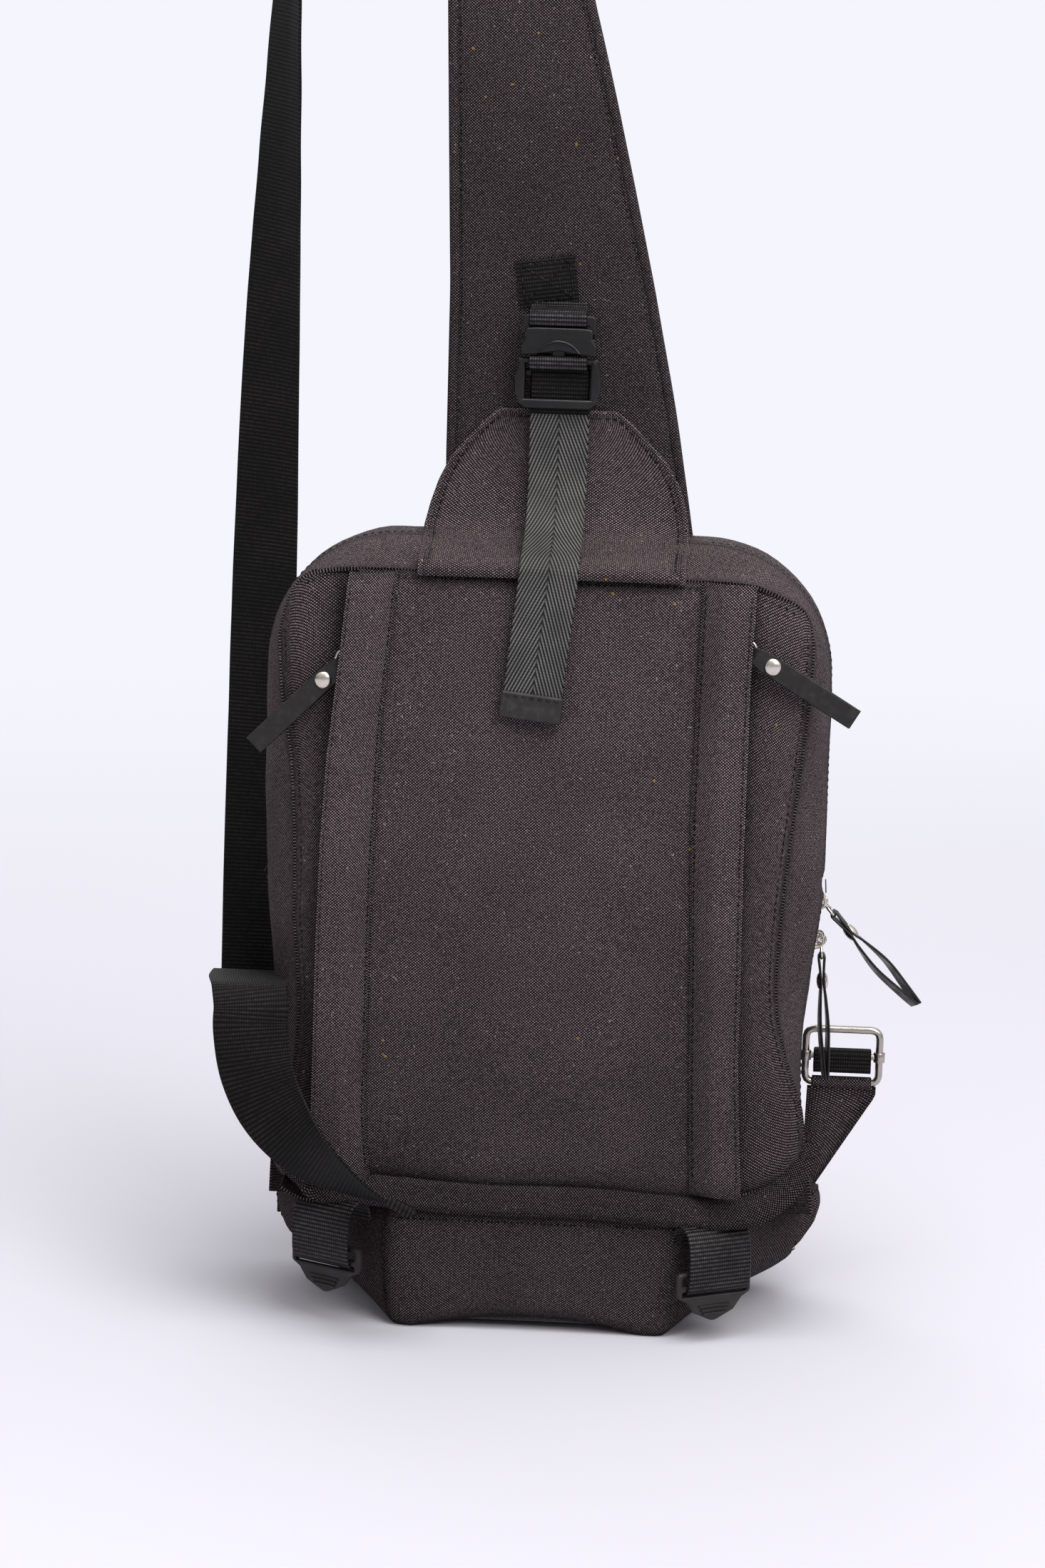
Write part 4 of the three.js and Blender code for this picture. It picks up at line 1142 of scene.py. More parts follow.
for t in np.linspace(0, 1, 11):
    share = 0.06 + 0.94 * math.sin(t * math.pi / 2) ** 1.15
    line = seam_line * (1 - share) + wall_line * share
    pocket_sides.append(np.stack([line[:, 0], np.full(len(line), -47.6 + 30.2 * t), line[:, 1]], axis=1))
pocket_gusset = shell(
    "pocket_gusset_canvas", np.array(pocket_sides), (0, -30, 200), canvas, thickness=1.8, waves=1.3,
    wave_size=30.0, seed=31.0
)
floor_rows = []
for t in np.linspace(0, 1, 7):
    y = -47.6 + 29.0 * t
    floor_rows.append(
        [
            (x, y, 56.0 + 1.0 * math.sin(math.pi * t) + 6 * max(0, (abs(x) - 98) / 16) ** 2)
            for x in np.linspace(-114, 114, 50)
        ]
    )
# The pocket's floor takes the darker canvas copy: painted shade.
pocket_floor = shell(
    "pocket_floor_canvas", np.array(floor_rows), (0, -30, 120), canvas_shaded, thickness=1.6, waves=0.5,
    wave_size=30.0, seed=33.0
)
place(joined("pocket_gusset_pieces", [pocket_gusset, pocket_floor]), "bag_body", "canvas", "pocket_gusset")

INSET = 2.6  # how far the stitching lies inside the pocket's edge
stitch_line = []
for x, z in seam_line[8:-8]:
    inward = math.copysign(INSET, x) * min(1, abs(x) / 90)
    stitch_line.append((x - inward, FACE_Y + 1.25, z - INSET * (z > 300) * min(1, (z - 300) / 30)))
edge_stitches = stitches("pocket_stitching", stitch_line, (0, -1, 0), spacing=3.4, length=2.2, radius=0.3)
place(edge_stitches, "bag_body", "canvas")

# The rolled strip under the face wraps up round both lower corners.
BAND_BEND = (
    (122.6, 96, -43.6, -1.0, 0.1), (120.0, 84, -45.4, -0.92, 0.4), (114.2, 73.6, -47.4, -0.72, 0.7),
    (105.6, 66.2, -49.0, -0.4, 0.92), (96, 62.6, -50.0, -0.14, 1.0)
)


def band_corner(sign):
    """The strip's stations round one lower corner, from its upper end inward."""
    stations = []
    for x, z, y, lean, rise in BAND_BEND:
        reach = x * (0.945 if sign < 0 and x > 100 else 1.0)
        stations.append(((sign * reach, y, z - FOOT_SLOPE * sign * x), (sign * lean, 0.32, rise)))
    return stations


band_stations = band_corner(-1)
for x in np.linspace(-84, 84, 26):
    band_stations.append(((x, -50.2, 61.4 - FOOT_SLOPE * x + 0.7 * math.sin(x / 17.0)), (0, 0.32, 1)))
band_stations += band_corner(1)[::-1]
BAND_HALF, BAND_BULGE = 7.2, 3.2
band_front = [
    (a, BAND_BULGE * math.sqrt(max(0.0, 1 - (a / BAND_HALF) ** 4)))
    for a in np.linspace(-BAND_HALF, BAND_HALF, 11)
]
band_section = np.array([*band_front, *((-a, -b) for a, b in band_front[1:-1])])
# The strip under the pocket takes the darker canvas copy: painted shade.
band = sweep(
    "pocket_foot_strip", band_stations, band_section, canvas_strip, count=150, ripple=0.5, seed=2.0
)
place(band, "bag_body", "canvas", "pocket_bottom_band")

# ------------------------------------------------------------------ pocket zips and their flaps
POCKET_ZIP_X = 86.5
FLAP_SEAM = {
    1: ([68, 125, 238, 283, 345], [71.8, 69.8, 66.8, 67.2, 68.6]),
    -1: ([68, 99, 205, 277, 345], [72, 75.2, 74.6, 71.8, 66.0])
}
FLAP_EDGE = {
    1: ([67, 127, 224, 302, 345], [95.2, 91.8, 90.8, 91.0, 92.4]),
    -1: ([67, 99, 178, 225, 261, 309, 347], [99, 99.2, 98.8, 97.6, 95.6, 90.8, 87.2])
}
for side, sign in SIDES:
    tape_grid = [
        [(sign * (POCKET_ZIP_X + a), -47.2, z) for a in np.linspace(-6.4, 6.4, 5)]
        for z in np.linspace(74, 334, 30)
    ]
    zip_cloth = shell(
        f"pocket_zip_tape_{side}", np.array(tape_grid), BEHIND, tape, thickness=0.9, waves=0.1,
        wave_size=30.0, seed=40.0
    )
    spots = []
    for k, z in enumerate(np.arange(78, 330, 1.55)):
        stagger = 0.55 if k % 2 else -0.55
        here = np.array([sign * POCKET_ZIP_X + stagger, -48.4, z])
        spots.append((here, np.array([1.0, 0, 0]), np.array([0, -1.0, 0])))
    layers = ((-0.9, 1.0), (0.6, 1.0), (1.0, 0.6))
    teeth = teeth_rows(
        f"pocket_zip_teeth_{side}", spots, tooth_metal, np.array([0, 0, 1.0]), (2.2, 1.0, 1.0), layers
    )
    place(zip_cloth, "bag_body", "zip_tape", f"pocket_zip_{side}")
    place(teeth, "bag_body", "dark_metal")

    rows = []
    for z in np.linspace(68.5, 345.6, 60):
        seam = np.interp(z, *FLAP_SEAM[sign])
        edge = np.interp(z, *FLAP_EDGE[sign])
        tuck = 2.2 * max(0.0, (z - 340) / 7.0) + 2.0 * max(0.0, (74 - z) / 5.5)
        shut = max(0.0, 1 - (z - 68) / 50) * 2.0
        row = []
        for t in np.linspace(0, 1, 15):
            lift = 8.8 * min(1.0, max(0.0, (t - 0.06) / 0.4)) ** 0.75
            lift = lift * (1 - 0.04 * shut) + 0.5 * math.sin(z / 29.0 + sign) * t
            row.append((sign * (seam + (edge - seam) * t), FACE_Y - 1.9 - lift + tuck, z))
        rows.append(row)
    grid = np.array(rows)
    # The flap takes the lighter canvas copy, painted light, and painted shade along its ends and its sewn
    # side.
    flap = shell(
        f"zip_flap_canvas_{side}", grid, BEHIND, canvas_lit, thickness=1.9, waves=0.35, wave_size=40.0,
        seed=50.0 + sign, seams=(0.3, 0.3, 0.5, 0.0), reach=1.7
    )
    seam_row = grid[1:-1, 1] + np.array([0, -0.35, 0])
    edge_row = grid[1:-1, 13] + np.array([0, -0.3, 0])
    seams = joined(f"zip_flap_stitching_{side}", [
        stitches("a", seam_row, (0, -1, 0), spacing=3.2, length=2.2, radius=0.32),
        stitches("b", edge_row, (0, -1, 0), spacing=3.2, length=2.2, radius=0.26),
    ])
    for piece in (flap, seams):
        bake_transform(piece)
    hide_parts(f"zip_flap_{side}")


# ------------------------------------------------------------------ zip pulls
def pull_matrix(x, y, z, turn):
    return Matrix.Translation((x, y, z)) @ turned(turn, "Y")


def moved(obj, matrix):
    """Moves a piece drawn in millimetres round the origin by a matrix in millimetres."""
    scaled = Matrix.Translation(matrix.to_translation() * MM) @ matrix.to_3x3().to_4x4()
    obj.data.transform(scaled)
    return obj


def folded_leather(name, top, length, width, bow, flat_axis, twist=0.0):
    """A leather strip folded over a wire, its two layers meeting at the rivet and at the free end."""
    low = top - length
    layer = 0.62
    path = [
        (layer, low), (layer + bow * 0.4, low + length * 0.15), (layer + bow, low + length * 0.42),
        (layer + bow * 0.5, low + length * 0.66), (layer, top - 12.4), (layer + 0.45, top - 4),
        (1.35, top - 0.6), (0.0, top + 1.2), (-1.35, top - 0.6), (-layer - 0.45, top - 4),
        (-layer, top - 12.4), (-layer - bow * 0.5, low + length * 0.66),
        (-layer - bow, low + length * 0.42), (-layer - bow * 0.4, low + length * 0.15 - 1.0),
        (-layer, low + 0.6)
    ]
    if flat_axis == "y":
        stations = level([(0.0, d, z) for d, z in path])
    else:
        stations = [((d, 0.0, z), (0, 1, 0)) for d, z in path]
    section = strap_section(width, 1.15, columns=5)
    piece = sweep(name, stations, section, leather, count=70)
    for vertex in piece.data.vertices:
        near_top = max(0.0, (vertex.co.z / MM - (top - 7)) / 8)
        if flat_axis == "y":
            vertex.co.x *= 1 - 0.3 * min(1.0, near_top)
        else:
            vertex.co.y *= 1 - 0.3 * min(1.0, near_top)
        below = min(1.0, max(0.0, (top - 8 - vertex.co.z / MM) / (length - 8)))
        vertex.co = Matrix.Rotation(math.radians(twist) * math.sin(below * math.pi / 2), 3, "Z") @ vertex.co
    return piece


def rivet(name, z, axis):
    """A domed cap on each side of the leather with a shank between them."""
    cap = [(0.01, 2.75), (1.6, 2.62), (2.9, 2.25), (3.75, 1.75), (3.85, 1.5), (3.6, 1.3), (1.4, 1.25)]
    shank = [(r, -h) for r, h in reversed(cap)]
    return lathe(name, cap + shank, bright_metal, (0, 0, z), axis)


def pocket_pull(name, body, x, z, turn):
    matrix = pull_matrix(x, -55.3, z, turn)
    ring = [(4.3 * math.cos(a), 0.0, -2.4 + 4.6 * math.sin(a)) for a in round_angles(28)]
    loop = moved(tube(f"{name}_wire", ring, radius=0.75, material=bright_metal, closed=True), matrix)
    strip = moved(
        folded_leather(f"{name}_strip", top=-6.4, length=53.2, width=9.4, bow=0.35, flat_axis="y"), matrix
    )
    cap = moved(rivet(f"{name}_stud", -16.2, (0, -1, 0)), matrix)
    place(loop, body, "bright_metal", f"{name}_loop")
    place(strip, body, "black_leather", f"{name}_leather")
    place(cap, body, "bright_metal", f"{name}_rivet")


for side, sign, post_z, turn in (("left", -1, 308, 45), ("right", 1, 318, -59)):
    outline = rounded([(-4.4, 5.4, 2), (-3.0, -6.6, 2), (3.0, -6.6, 2), (4.4, 5.4, 2)])
    front_on = Matrix.Translation((sign * POCKET_ZIP_X, -51.9, post_z)) @ turned(90, "X")
    slider = plate("slider_plate", outline, depth=2.0, material=bright_metal, matrix=front_on, bevel=0.5)
    arc = [(-52.6, 4.2), (-54.6, 3.4), (-55.2, 0.6), (-54.8, -2.2), (-52.6, -3.4)]
    bridge_line = smooth_line([(sign * POCKET_ZIP_X, y, post_z + rise) for y, rise in arc], 14)
    bridge = tube("slider_bridge", bridge_line, radius=0.9, material=bright_metal)
    place(
        joined(f"pocket_slider_parts_{side}", [slider, bridge]), f"pocket_slider_{side}_body",
        "bright_metal", f"pocket_slider_{side}"
    )
    pocket_pull(f"pocket_pull_{side}", f"pocket_pull_{side}", sign * POCKET_ZIP_X, post_z, turn)

MAIN_POST_X = 127.4  # where the main zip's pulls hang
for where, post_z, swing, bow, twist in (("upper", 190, -44, 2.6, 26), ("lower", 172, -4, 1.2, 10)):
    matrix = pull_matrix(MAIN_POST_X, ZIP_Y, post_z, swing)
    side_on = Matrix.Translation((123.3, ZIP_Y, post_z)) @ turned(90, "Y") @ turned(90, "Z")
    body_plate = plate(
        "slider_plate", four_corners((3.2, -6.4, 1.5), (3.9, 6.4, 2)),
        depth=2.4, material=bright_metal, matrix=side_on, bevel=0.6
    )
    cheeks = []
    for offset in (-2.6, 2.6):
        arc = [(124.2, 3.8), (127.6, 3.2), (128.6, 0), (127.6, -2.6), (124.2, -3.6)]
        arc = smooth_line([(x, ZIP_Y + offset, post_z + rise) for x, rise in arc], 14)
        cheeks.append(tube("cheek", arc, radius=0.6, material=bright_metal, sides=8))
    pin = tube(
        "pin", [(MAIN_POST_X, ZIP_Y + t, post_z) for t in np.linspace(-2.8, 2.8, 4)], radius=0.9,
        material=bright_metal
    )
    place(
        joined(f"main_slider_parts_{where}", [body_plate, pin, *cheeks]), f"main_slider_{where}_body",
        "bright_metal", f"main_slider_{where}"
    )
    eye = [(2.0 * math.cos(a), 0.0, 2.0 * math.sin(a)) for a in round_angles(20)]
    link = [
        (0.0, 4.0 * math.sin(a) * (1 - 0.25 * math.cos(a)), -5.2 + 3.4 * math.cos(a))
        for a in round_angles(26)
    ]
    loop = joined(
        f"main_pull_{where}_wire",
        [
            tube("eye", eye, radius=0.7, material=bright_metal, closed=True),
            tube("link", link, radius=0.7, material=bright_metal, closed=True)
        ]
    )
    strip = folded_leather(
        f"main_pull_{where}_strip", top=-7.4, length=58.0, width=9.0, bow=bow, flat_axis="x", twist=twist
    )
    cap = rivet(f"main_pull_{where}_stud", -19.6, (1, 0, 0))
    body = f"main_pull_{where}"
    place(moved(loop, matrix), body, "bright_metal", f"main_pull_{where}_loop")
    place(moved(strip, matrix), body, "black_leather", f"main_pull_{where}_leather")
    place(moved(cap, matrix), body, "bright_metal", f"main_pull_{where}_rivet")


# ------------------------------------------------------------------ padded shoulder strap
STRAP_LEFT = (
    [357, 390, 469, 540, 595, 650, 700, 728], [-47.2, -48.2, -48.4, -50.8, -52.6, -53.0, -51.6, -49.4]
)
STRAP_RIGHT = (
    [357, 363, 415, 471, 512, 556, 597, 640, 680, 728],
    [60.6, 59.8, 51.0, 39.2, 29.8, 19.2, 8.6, 0.6, -4.0, -6.0]
)


def strap_edges(z):
    return float(np.interp(z, *STRAP_LEFT)), float(np.interp(z, *STRAP_RIGHT))


strap_outline = [(strap_edges(z)[1], z) for z in np.linspace(358.5, 722, 44)]
strap_outline += [(-9, 727), (-14, 728), (-42, 728), (-48, 727)]
strap_outline += [(strap_edges(z)[0], z) for z in np.linspace(722, 358.5, 44)]
# The padded strap and its rims take the darker canvas copy: painted shade, with painted light near the top.
strap_pad = pad(
    "sling_strap_pad", strap_outline, y_front=-2.6, y_back=2.6, material=canvas_strap, cap=2.2 * MM,
    channels=(), voxel=3.6 * MM
)
place(strap_pad, "bag_body", "canvas", "sling_strap")
strap_skin = skin_of(strap_pad)
strap_threads, rims = [], []
for side, offset in ((0, 3.6), (1, -3.6)):
    line = smooth_line([(strap_edges(z)[side] + offset, 0.0, z) for z in np.linspace(362, 720, 24)], 90)
    for out in (-1, 1):
        laid = laid_on(strap_skin, [(x, out * 30, z) for x, _, z in line], (0, out, 0))
        strap_threads.append(
            stitches("strap_threads", laid, (0, out, 0), spacing=3.6, length=2.5, radius=0.34)
        )
    edge = smooth_line(
        [(strap_edges(z)[side] + offset * 0.15, 0.0, z) for z in np.linspace(360, 723, 24)], 110
    )
    rims.append(box_uvs(tube("rim", edge, radius=2.6, material=canvas_strap)))
place(joined("sling_strap_binding", rims), "bag_body", "canvas")
place(joined("sling_strap_stitching", strap_threads), "bag_body", "canvas")

# ------------------------------------------------------------------ buckle flap
FLAP_RISE = smooth_line(
    [
        (-53.4, 344.6), (-52.2, 349.0), (-46.0, 352.4), (-34, 354.4), (-24, 357.6), (-16.6, 361.8),
        (-11.4, 369), (-8.4, 386), (-7.0, 414.6)
    ],
    60
)
FLAP_HALVES = ([341, 346, 363, 372, 382.5, 393, 402, 409, 414.6],
               [-56.6, -56.6, -57.0, -55.0, -51.6, -46.4, -38.8, -32.0, -25.8],
               [59.6, 59.6, 59.6, 58.0, 54.8, 48.6, 40.2, 33.4, 26.2])
rows = []
for y, z in FLAP_RISE:
    # The flap's outline is drawn on its own slope: low rows near the shelf keep the full width.
    low, high = np.interp(z, FLAP_HALVES[0], FLAP_HALVES[1]), np.interp(z, FLAP_HALVES[0], FLAP_HALVES[2])
    row = []
    for t in np.linspace(0, 1, 41):
        x = low + (high - low) * t
        droop = 1.2 * abs(2 * t - 1) ** 3
        row.append((x, y + droop * 0.4 - 1.3 * math.sin(math.pi * t) ** 2 * (z > 362), z - droop * 0.2))
    rows.append(row)
flap_grid = np.array(rows)
buckle_flap = shell(
    "buckle_flap_canvas", flap_grid, (0, 60, 330), canvas, thickness=2.0, waves=0.45, wave_size=26.0,
    seed=61.0
)
place(buckle_flap, "bag_body", "canvas", "buckle_flap")
flap_normals = normals_of(flap_grid)
if flap_normals[:, :, 1].mean() > 0:
    flap_normals = -flap_normals


def stitched_border(grid):
    return np.vstack([grid[3:58, 1], grid[58, 2:39], grid[57:2:-1, 39]])


border_line, border_out = stitched_border(flap_grid), stitched_border(flap_normals)
border_line = border_line - away_from(border_line, (1.5, 0, 372)) * 0.6 + border_out * 0.35
place(
    stitches("buckle_flap_stitching", border_line, border_out, spacing=3.3, length=2.3, radius=0.36),
    "bag_body", "canvas"
)
rim = np.vstack([flap_grid[:, 0], flap_grid[59], flap_grid[::-1, 40]])
rim_roll = tube(
    "buckle_flap_rolled_edge", resample(rim + np.array([0, 0.9, 0]), 150), radius=1.25, material=canvas,
    sides=8
)
place(box_uvs(rim_roll), "bag_body", "canvas")

# ------------------------------------------------------------------ buckle webbing and its loose end
LEAN = math.radians(6)
TAIL_X, TAIL_Y, TAIL_TOP, TAIL_FOOT = 0.6, -55.4, 347.6, 292.0
fold_line = [
    (1, -9.6, 394), (1, -9.6, 412), (1, -9.6, 430), (1, -10.4, 435.6), (1, -11.8, 437.2), (1, -13.2, 435.6),
    (1, -14.0, 430), (1, -14.0, 412), (1, -14.2, 398), (1, -15.4, 384), (0.9, -20.4, 372),
    (0.9, -29, 363.6), (0.8, -41, 357.8), (0.7, -50.2, 354.2), (0.6, -54.9, 349.4)
]
down = [
    (
        TAIL_X - (TAIL_TOP - z) * math.sin(LEAN) / math.cos(LEAN),
        TAIL_Y - 0.6 * math.sin((TAIL_TOP - z) / 18), z
    )
    for z in np.linspace(345, TAIL_FOOT, 9)
]
stations = level(fold_line)
stations += [(spot, (math.cos(LEAN), 0, -math.sin(LEAN))) for spot in down]
front_webbing = sweep(
    "front_webbing", stations, strap_section(26.2, 1.35, columns=13), grey_webbing, count=170
)
front_webbing.data.materials.append(black_webbing)
for face in front_webbing.data.polygons:
    if face.center.z > 414.5 * MM:
        face.material_index = 1
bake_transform(front_webbing)
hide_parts("buckle_webbing", "front_tail")
tail_hang = Matrix.Translation((TAIL_X, TAIL_Y, TAIL_TOP)) @ Matrix.Rotation(LEAN, 4, "Y")
drop = TAIL_TOP - TAIL_FOOT
cap = plate(
    "tail_cap_leather",
    four_corners((14.0, -drop - 10.8, 1.2), (14.0, -drop + 1.4, 1.0)),
    depth=3.4, material=cap_leather, matrix=tail_hang @ turned(90, "X"), bevel=1.1
)
cap_seam = np.array([(x, -2.0, -drop - 0.4) for x in np.linspace(-12.6, 12.6, 20)])
cap_threads = moved(
    stitches("tail_cap_stitching", cap_seam, (0, -1, 0), spacing=3.2, length=2.4, radius=0.4),
    tail_hang
)
place(cap, "front_tail_body", "black_leather", "front_tail_cap")
place(cap_threads, "front_tail_body", "black_leather")

# ------------------------------------------------------------------ side-release buckle
FRONT_ON = turned(90, "X")
PRONG_FRONT, PRONG_BACK = -18.2, -15.1


def front_plate(name, outline, front_y, back_y, material, holes=(), bevel=0.6):
    """A plate that faces the front, between two depths."""
    return plate(
        name, outline, depth=back_y - front_y, material=material,
        matrix=Matrix.Translation((0, (front_y + back_y) / 2, 0)) @ FRONT_ON, holes=holes, bevel=bevel
    )


socket_front = front_plate(
    "socket_front",
    rounded(
        [
            (-16.4, 440.6, 1.0), (-9.5, 441.2, 2), (0, 442.8, 6), (9.5, 441.2, 2), (16.4, 440.6, 1.0),
            (16.9, 445, 1), (15.0, 448.4, 2), (15.4, 452.6, 2), (10, 453.0, 2), (-10, 453.0, 2),
            (-15.4, 452.6, 2), (-15.0, 448.4, 2), (-16.9, 445, 1)
        ]
    ),
    front_y=-20.8, back_y=-18.7, material=plastic, bevel=0.8
)
socket_rear = front_plate(
    "socket_rear", four_corners((16.4, 440.4, 1), (16.4, 452.6, 2)),
    front_y=-13.3, back_y=-11.8, material=plastic, bevel=0.6
)
socket_top = front_plate(
    "socket_top",
    four_corners((16.5, 449.9, 0.8), (16.5, 458.6, 2.4)),
    front_y=-18.9, back_y=-13.2, material=plastic,
    holes=[four_corners((13.2, 452.6, 0.6), (13.2, 454.6, 0.6))[::-1]],
    bevel=0.8
)
socket_ridge = tube(
    "socket_ridge",
    smooth_line(
        [
            (-9.5, -20.9, 441.8), (-5.6, -21.1, 445.4), (0, -21.2, 447.0), (5.6, -21.1, 445.4),
            (9.5, -20.9, 441.8)
        ],
        26
    ),
    radius=0.55, material=plastic, sides=8
)
place(
    joined("buckle_socket_parts", [socket_front, socket_rear, socket_top, socket_ridge]), "bag_body",
    "buckle_plastic", "buckle_socket"
)

rails = []
for _, sign in SIDES:
    rail = rounded(
        [
            (sign * 14.6, 418.6, 0.8), (sign * 17.0, 418.4, 1.6), (sign * 19.0, 424, 5),
            (sign * 19.2, 432, 6), (sign * 17.4, 438.8, 2.0), (sign * 14.6, 439.2, 1.0)
        ][::sign]
    )
    rails.append(front_plate("rail", rail, front_y=-18.8, back_y=-11.0, material=plastic, bevel=1.1))
low_bar = front_plate(
    "low_bar",
    rounded(
        [
            (-17.8, 419.0, 1.5), (-14.4, 416.6, 2.5), (14.4, 416.6, 2.5), (17.8, 419.0, 1.5),
            (17.8, 421.2, 0.8), (-17.8, 421.2, 0.8)
        ]
    ),
    front_y=-18.9, back_y=-15.3, material=plastic, bevel=1.1
)
top_plate = front_plate(
    "top_plate", four_corners((18.2, 436.8, 1), (18.0, 439.2, 1)),
    front_y=-18.7, back_y=-15.0, material=plastic, bevel=0.8
)
fold_bar = front_plate(
    "fold_bar", four_corners((15.2, 430.6, 1), (15.2, 434.0, 1)),
    front_y=-12.9, back_y=-10.7, material=plastic, bevel=0.8
)
tongue = front_plate(
    "tongue", four_corners((3, 438, 0.8), (2.4, 450.1, 1.6)),
    front_y=PRONG_FRONT, back_y=PRONG_BACK, material=plastic, bevel=0.6
)
place(
    joined("buckle_frame_parts", [*rails, low_bar, top_plate, fold_bar, tongue]), "buckle_male",
    "buckle_plastic", "buckle_frame"
)
frame_band_line = [
    (-15, 435.2), (-18.6, 434.4), (-19.8, 435.4), (-19.9, 437.6), (-19.4, 439.6), (-18.7, 440.0)
]
band_stations = level([(0, y, z) for y, z in frame_band_line])
frame_band = sweep(
    "buckle_frame_band", band_stations, strap_section(26, 1.0, columns=9), loop_webbing, count=30
)
place(frame_band, "buckle_male", "black_webbing")
PRONG_OUTLINE = [
    (9.6, 439.4, 0.6), (13.6, 439.4, 0.8), (13.8, 442.4, 1.5), (16.5, 444.4, 1), (16.5, 447.6, 1),
    (13.2, 449.4, 1.4), (11, 449.4, 1.4), (9.6, 446, 1)
]
for side, sign in SIDES:
    outline = [(sign * x, z, r) for x, z, r in PRONG_OUTLINE]
    prong = front_plate(
        f"buckle_prong_moulding_{side}", rounded(outline[::sign]), front_y=PRONG_FRONT, back_y=PRONG_BACK,
        material=plastic, bevel=0.6
    )
    place(prong, f"prong_{side}", "buckle_plastic", f"buckle_prong_{side}")

# ------------------------------------------------------------------ socket's webbing and patch
socket_loop_line = [
    (-5.6, 463.4), (-6.4, 461.4), (-9.5, 460.6), (-14.6, 460.2), (-18.2, 459.9), (-19.4, 458.2),
    (-19.4, 455.2), (-18.2, 453.6), (-15.6, 453.5), (-13.0, 453.6), (-12.0, 455.2), (-11.0, 456.8),
    (-8.4, 457.8), (-5.4, 458.0)
]
loop_stations = level([(-0.6, y, z) for y, z in socket_loop_line])
socket_loop = sweep(
    "socket_loop_strap", loop_stations, strap_section(25.8, 1.1, columns=11), loop_webbing, count=90
)
place(socket_loop, "bag_body", "black_webbing", "socket_loop_webbing")
tilt = Matrix.Translation((-6.5, -5.2, 472.6)) @ turned(-8, "Y")
patch_rows = [
    [
        (x, -0.9 - 0.5 * math.sin(math.pi * (x + 13) / 26) * math.sin(math.pi * (z + 9.6) / 19.8), z)
        for x in np.linspace(-13.2, 13.2, 16)
    ]
    for z in np.linspace(-10.2, 10.4, 14)
]
patch = moved(
    shell(
        "socket_patch_weave", np.array(patch_rows), (0, 40, 0), black_webbing, thickness=1.5, waves=0.15,
        wave_size=20.0, seed=71.0
    ),
    tilt
)
corners = [(-11.0, -8.2), (11.0, -8.2), (11.0, 8.4), (-11.0, 8.4)]
patch_threads = []
for first, last in ((0, 1), (1, 2), (2, 3), (3, 0), (0, 2), (1, 3)):
    (x0, z0), (x1, z1) = corners[first], corners[last]
    line = np.array([(x0 + (x1 - x0) * t, -1.55, z0 + (z1 - z0) * t) for t in np.linspace(0, 1, 12)])
    patch_threads.append(stitches("patch_threads", line, (0, -1, 0), spacing=2.5, length=1.9, radius=0.34))
place(patch, "bag_body", "black_webbing", "socket_patch")
place(moved(joined("socket_patch_stitching", patch_threads), tilt), "bag_body", "black_webbing")

# ------------------------------------------------------------------ shoulder webbing
LEG_X = -137.4
leg_stations = [
    *level([(LEG_X, 47.6, 104), (LEG_X, 50.4, 112), (LEG_X, 52, 124), (LEG_X, 52, 160)]),
    ((LEG_X, 51, 250), (0.97, -0.24, 0)),
    ((-136.6, 49, 335), (0.94, -0.34, 0)), ((-134.6, 42, 431), (0.85, -0.52, 0)),
    ((-131.2, 32, 520), (0.68, -0.73, 0)), ((-128.2, 25, 594), (0.5, -0.87, 0)),
    ((-127.5, 18, 660), (0.3, -0.95, 0)), ((-124, 12, 716), (0.08, -1, 0)), ((-114, 8, 762), (0, -1, 0)),
    ((-97, 6, 790), (0, -1, 0)), ((-78, 5, 799), (0, -1, 0)), ((-58, 4, 792), (0.1, -1, 0)),
    ((-41, 3, 774), (0.5, -0.86, 0)), ((-31, 1, 756), (0.9, -0.4, 0)), ((-28, 0, 742), (1, 0, 0)),
    ((-28, 0, 722), (1, 0, 0)),
]
leg = sweep(
    "shoulder_strap", leg_stations, strap_section(34, 1.5, columns=15, crease=(4.0, 0.14)), black_webbing,
    count=200, scales=[(0, 0.76, 1), (0.012, 0.8, 1), (0.04, 1, 1), (1, 1, 1)], ripple=0.6, seed=4.0
)
place(leg, "bag_body", "black_webbing", "shoulder_webbing")

tail_stations = [
    *level([(LEG_X, 43.6, 112), (LEG_X, 43.2, 120), (LEG_X, 40, 132), (-136.6, 30, 142)]),
    *level([(-135.6, 8, 150), (-134.2, -20, 154.4), (-130.6, -46, 157), (-127.8, -60, 157)]),
    ((-126.2, -66.4, 150), (1, 0, 0)),
    ((-126.0, -68.4, 139), (1, 0.02, 0.02)), ((-122.6, -70, 120), (0.97, -0.1, 0.2)),
    ((-113.6, -73, 101.5), (0.86, -0.28, 0.42)), ((-98, -77, 85.4), (0.6, -0.58, 0.55)),
    ((-76, -79, 72.2), (0.28, -0.88, 0.38)), ((-60, -80, 65.8), (0.12, -0.96, 0.24)),
    ((-49.6, -80, 61.4), (0.1, -0.96, 0.22)),
]
tail = sweep(
    "strap_loose_end", tail_stations, strap_section(33.6, 1.5, columns=15), black_webbing, count=170,
    scales=[
        (0, 0.76, 1), (0.03, 0.8, 1), (0.09, 1, 1), (0.945, 1, 1), (0.955, 1.01, 3.2), (0.99, 1.01, 3.2),
        (1.0, 0.98, 1.6)
    ],
    ripple=0.9, seed=8.0
)
place(tail, "bag_body", "black_webbing", "strap_tail")

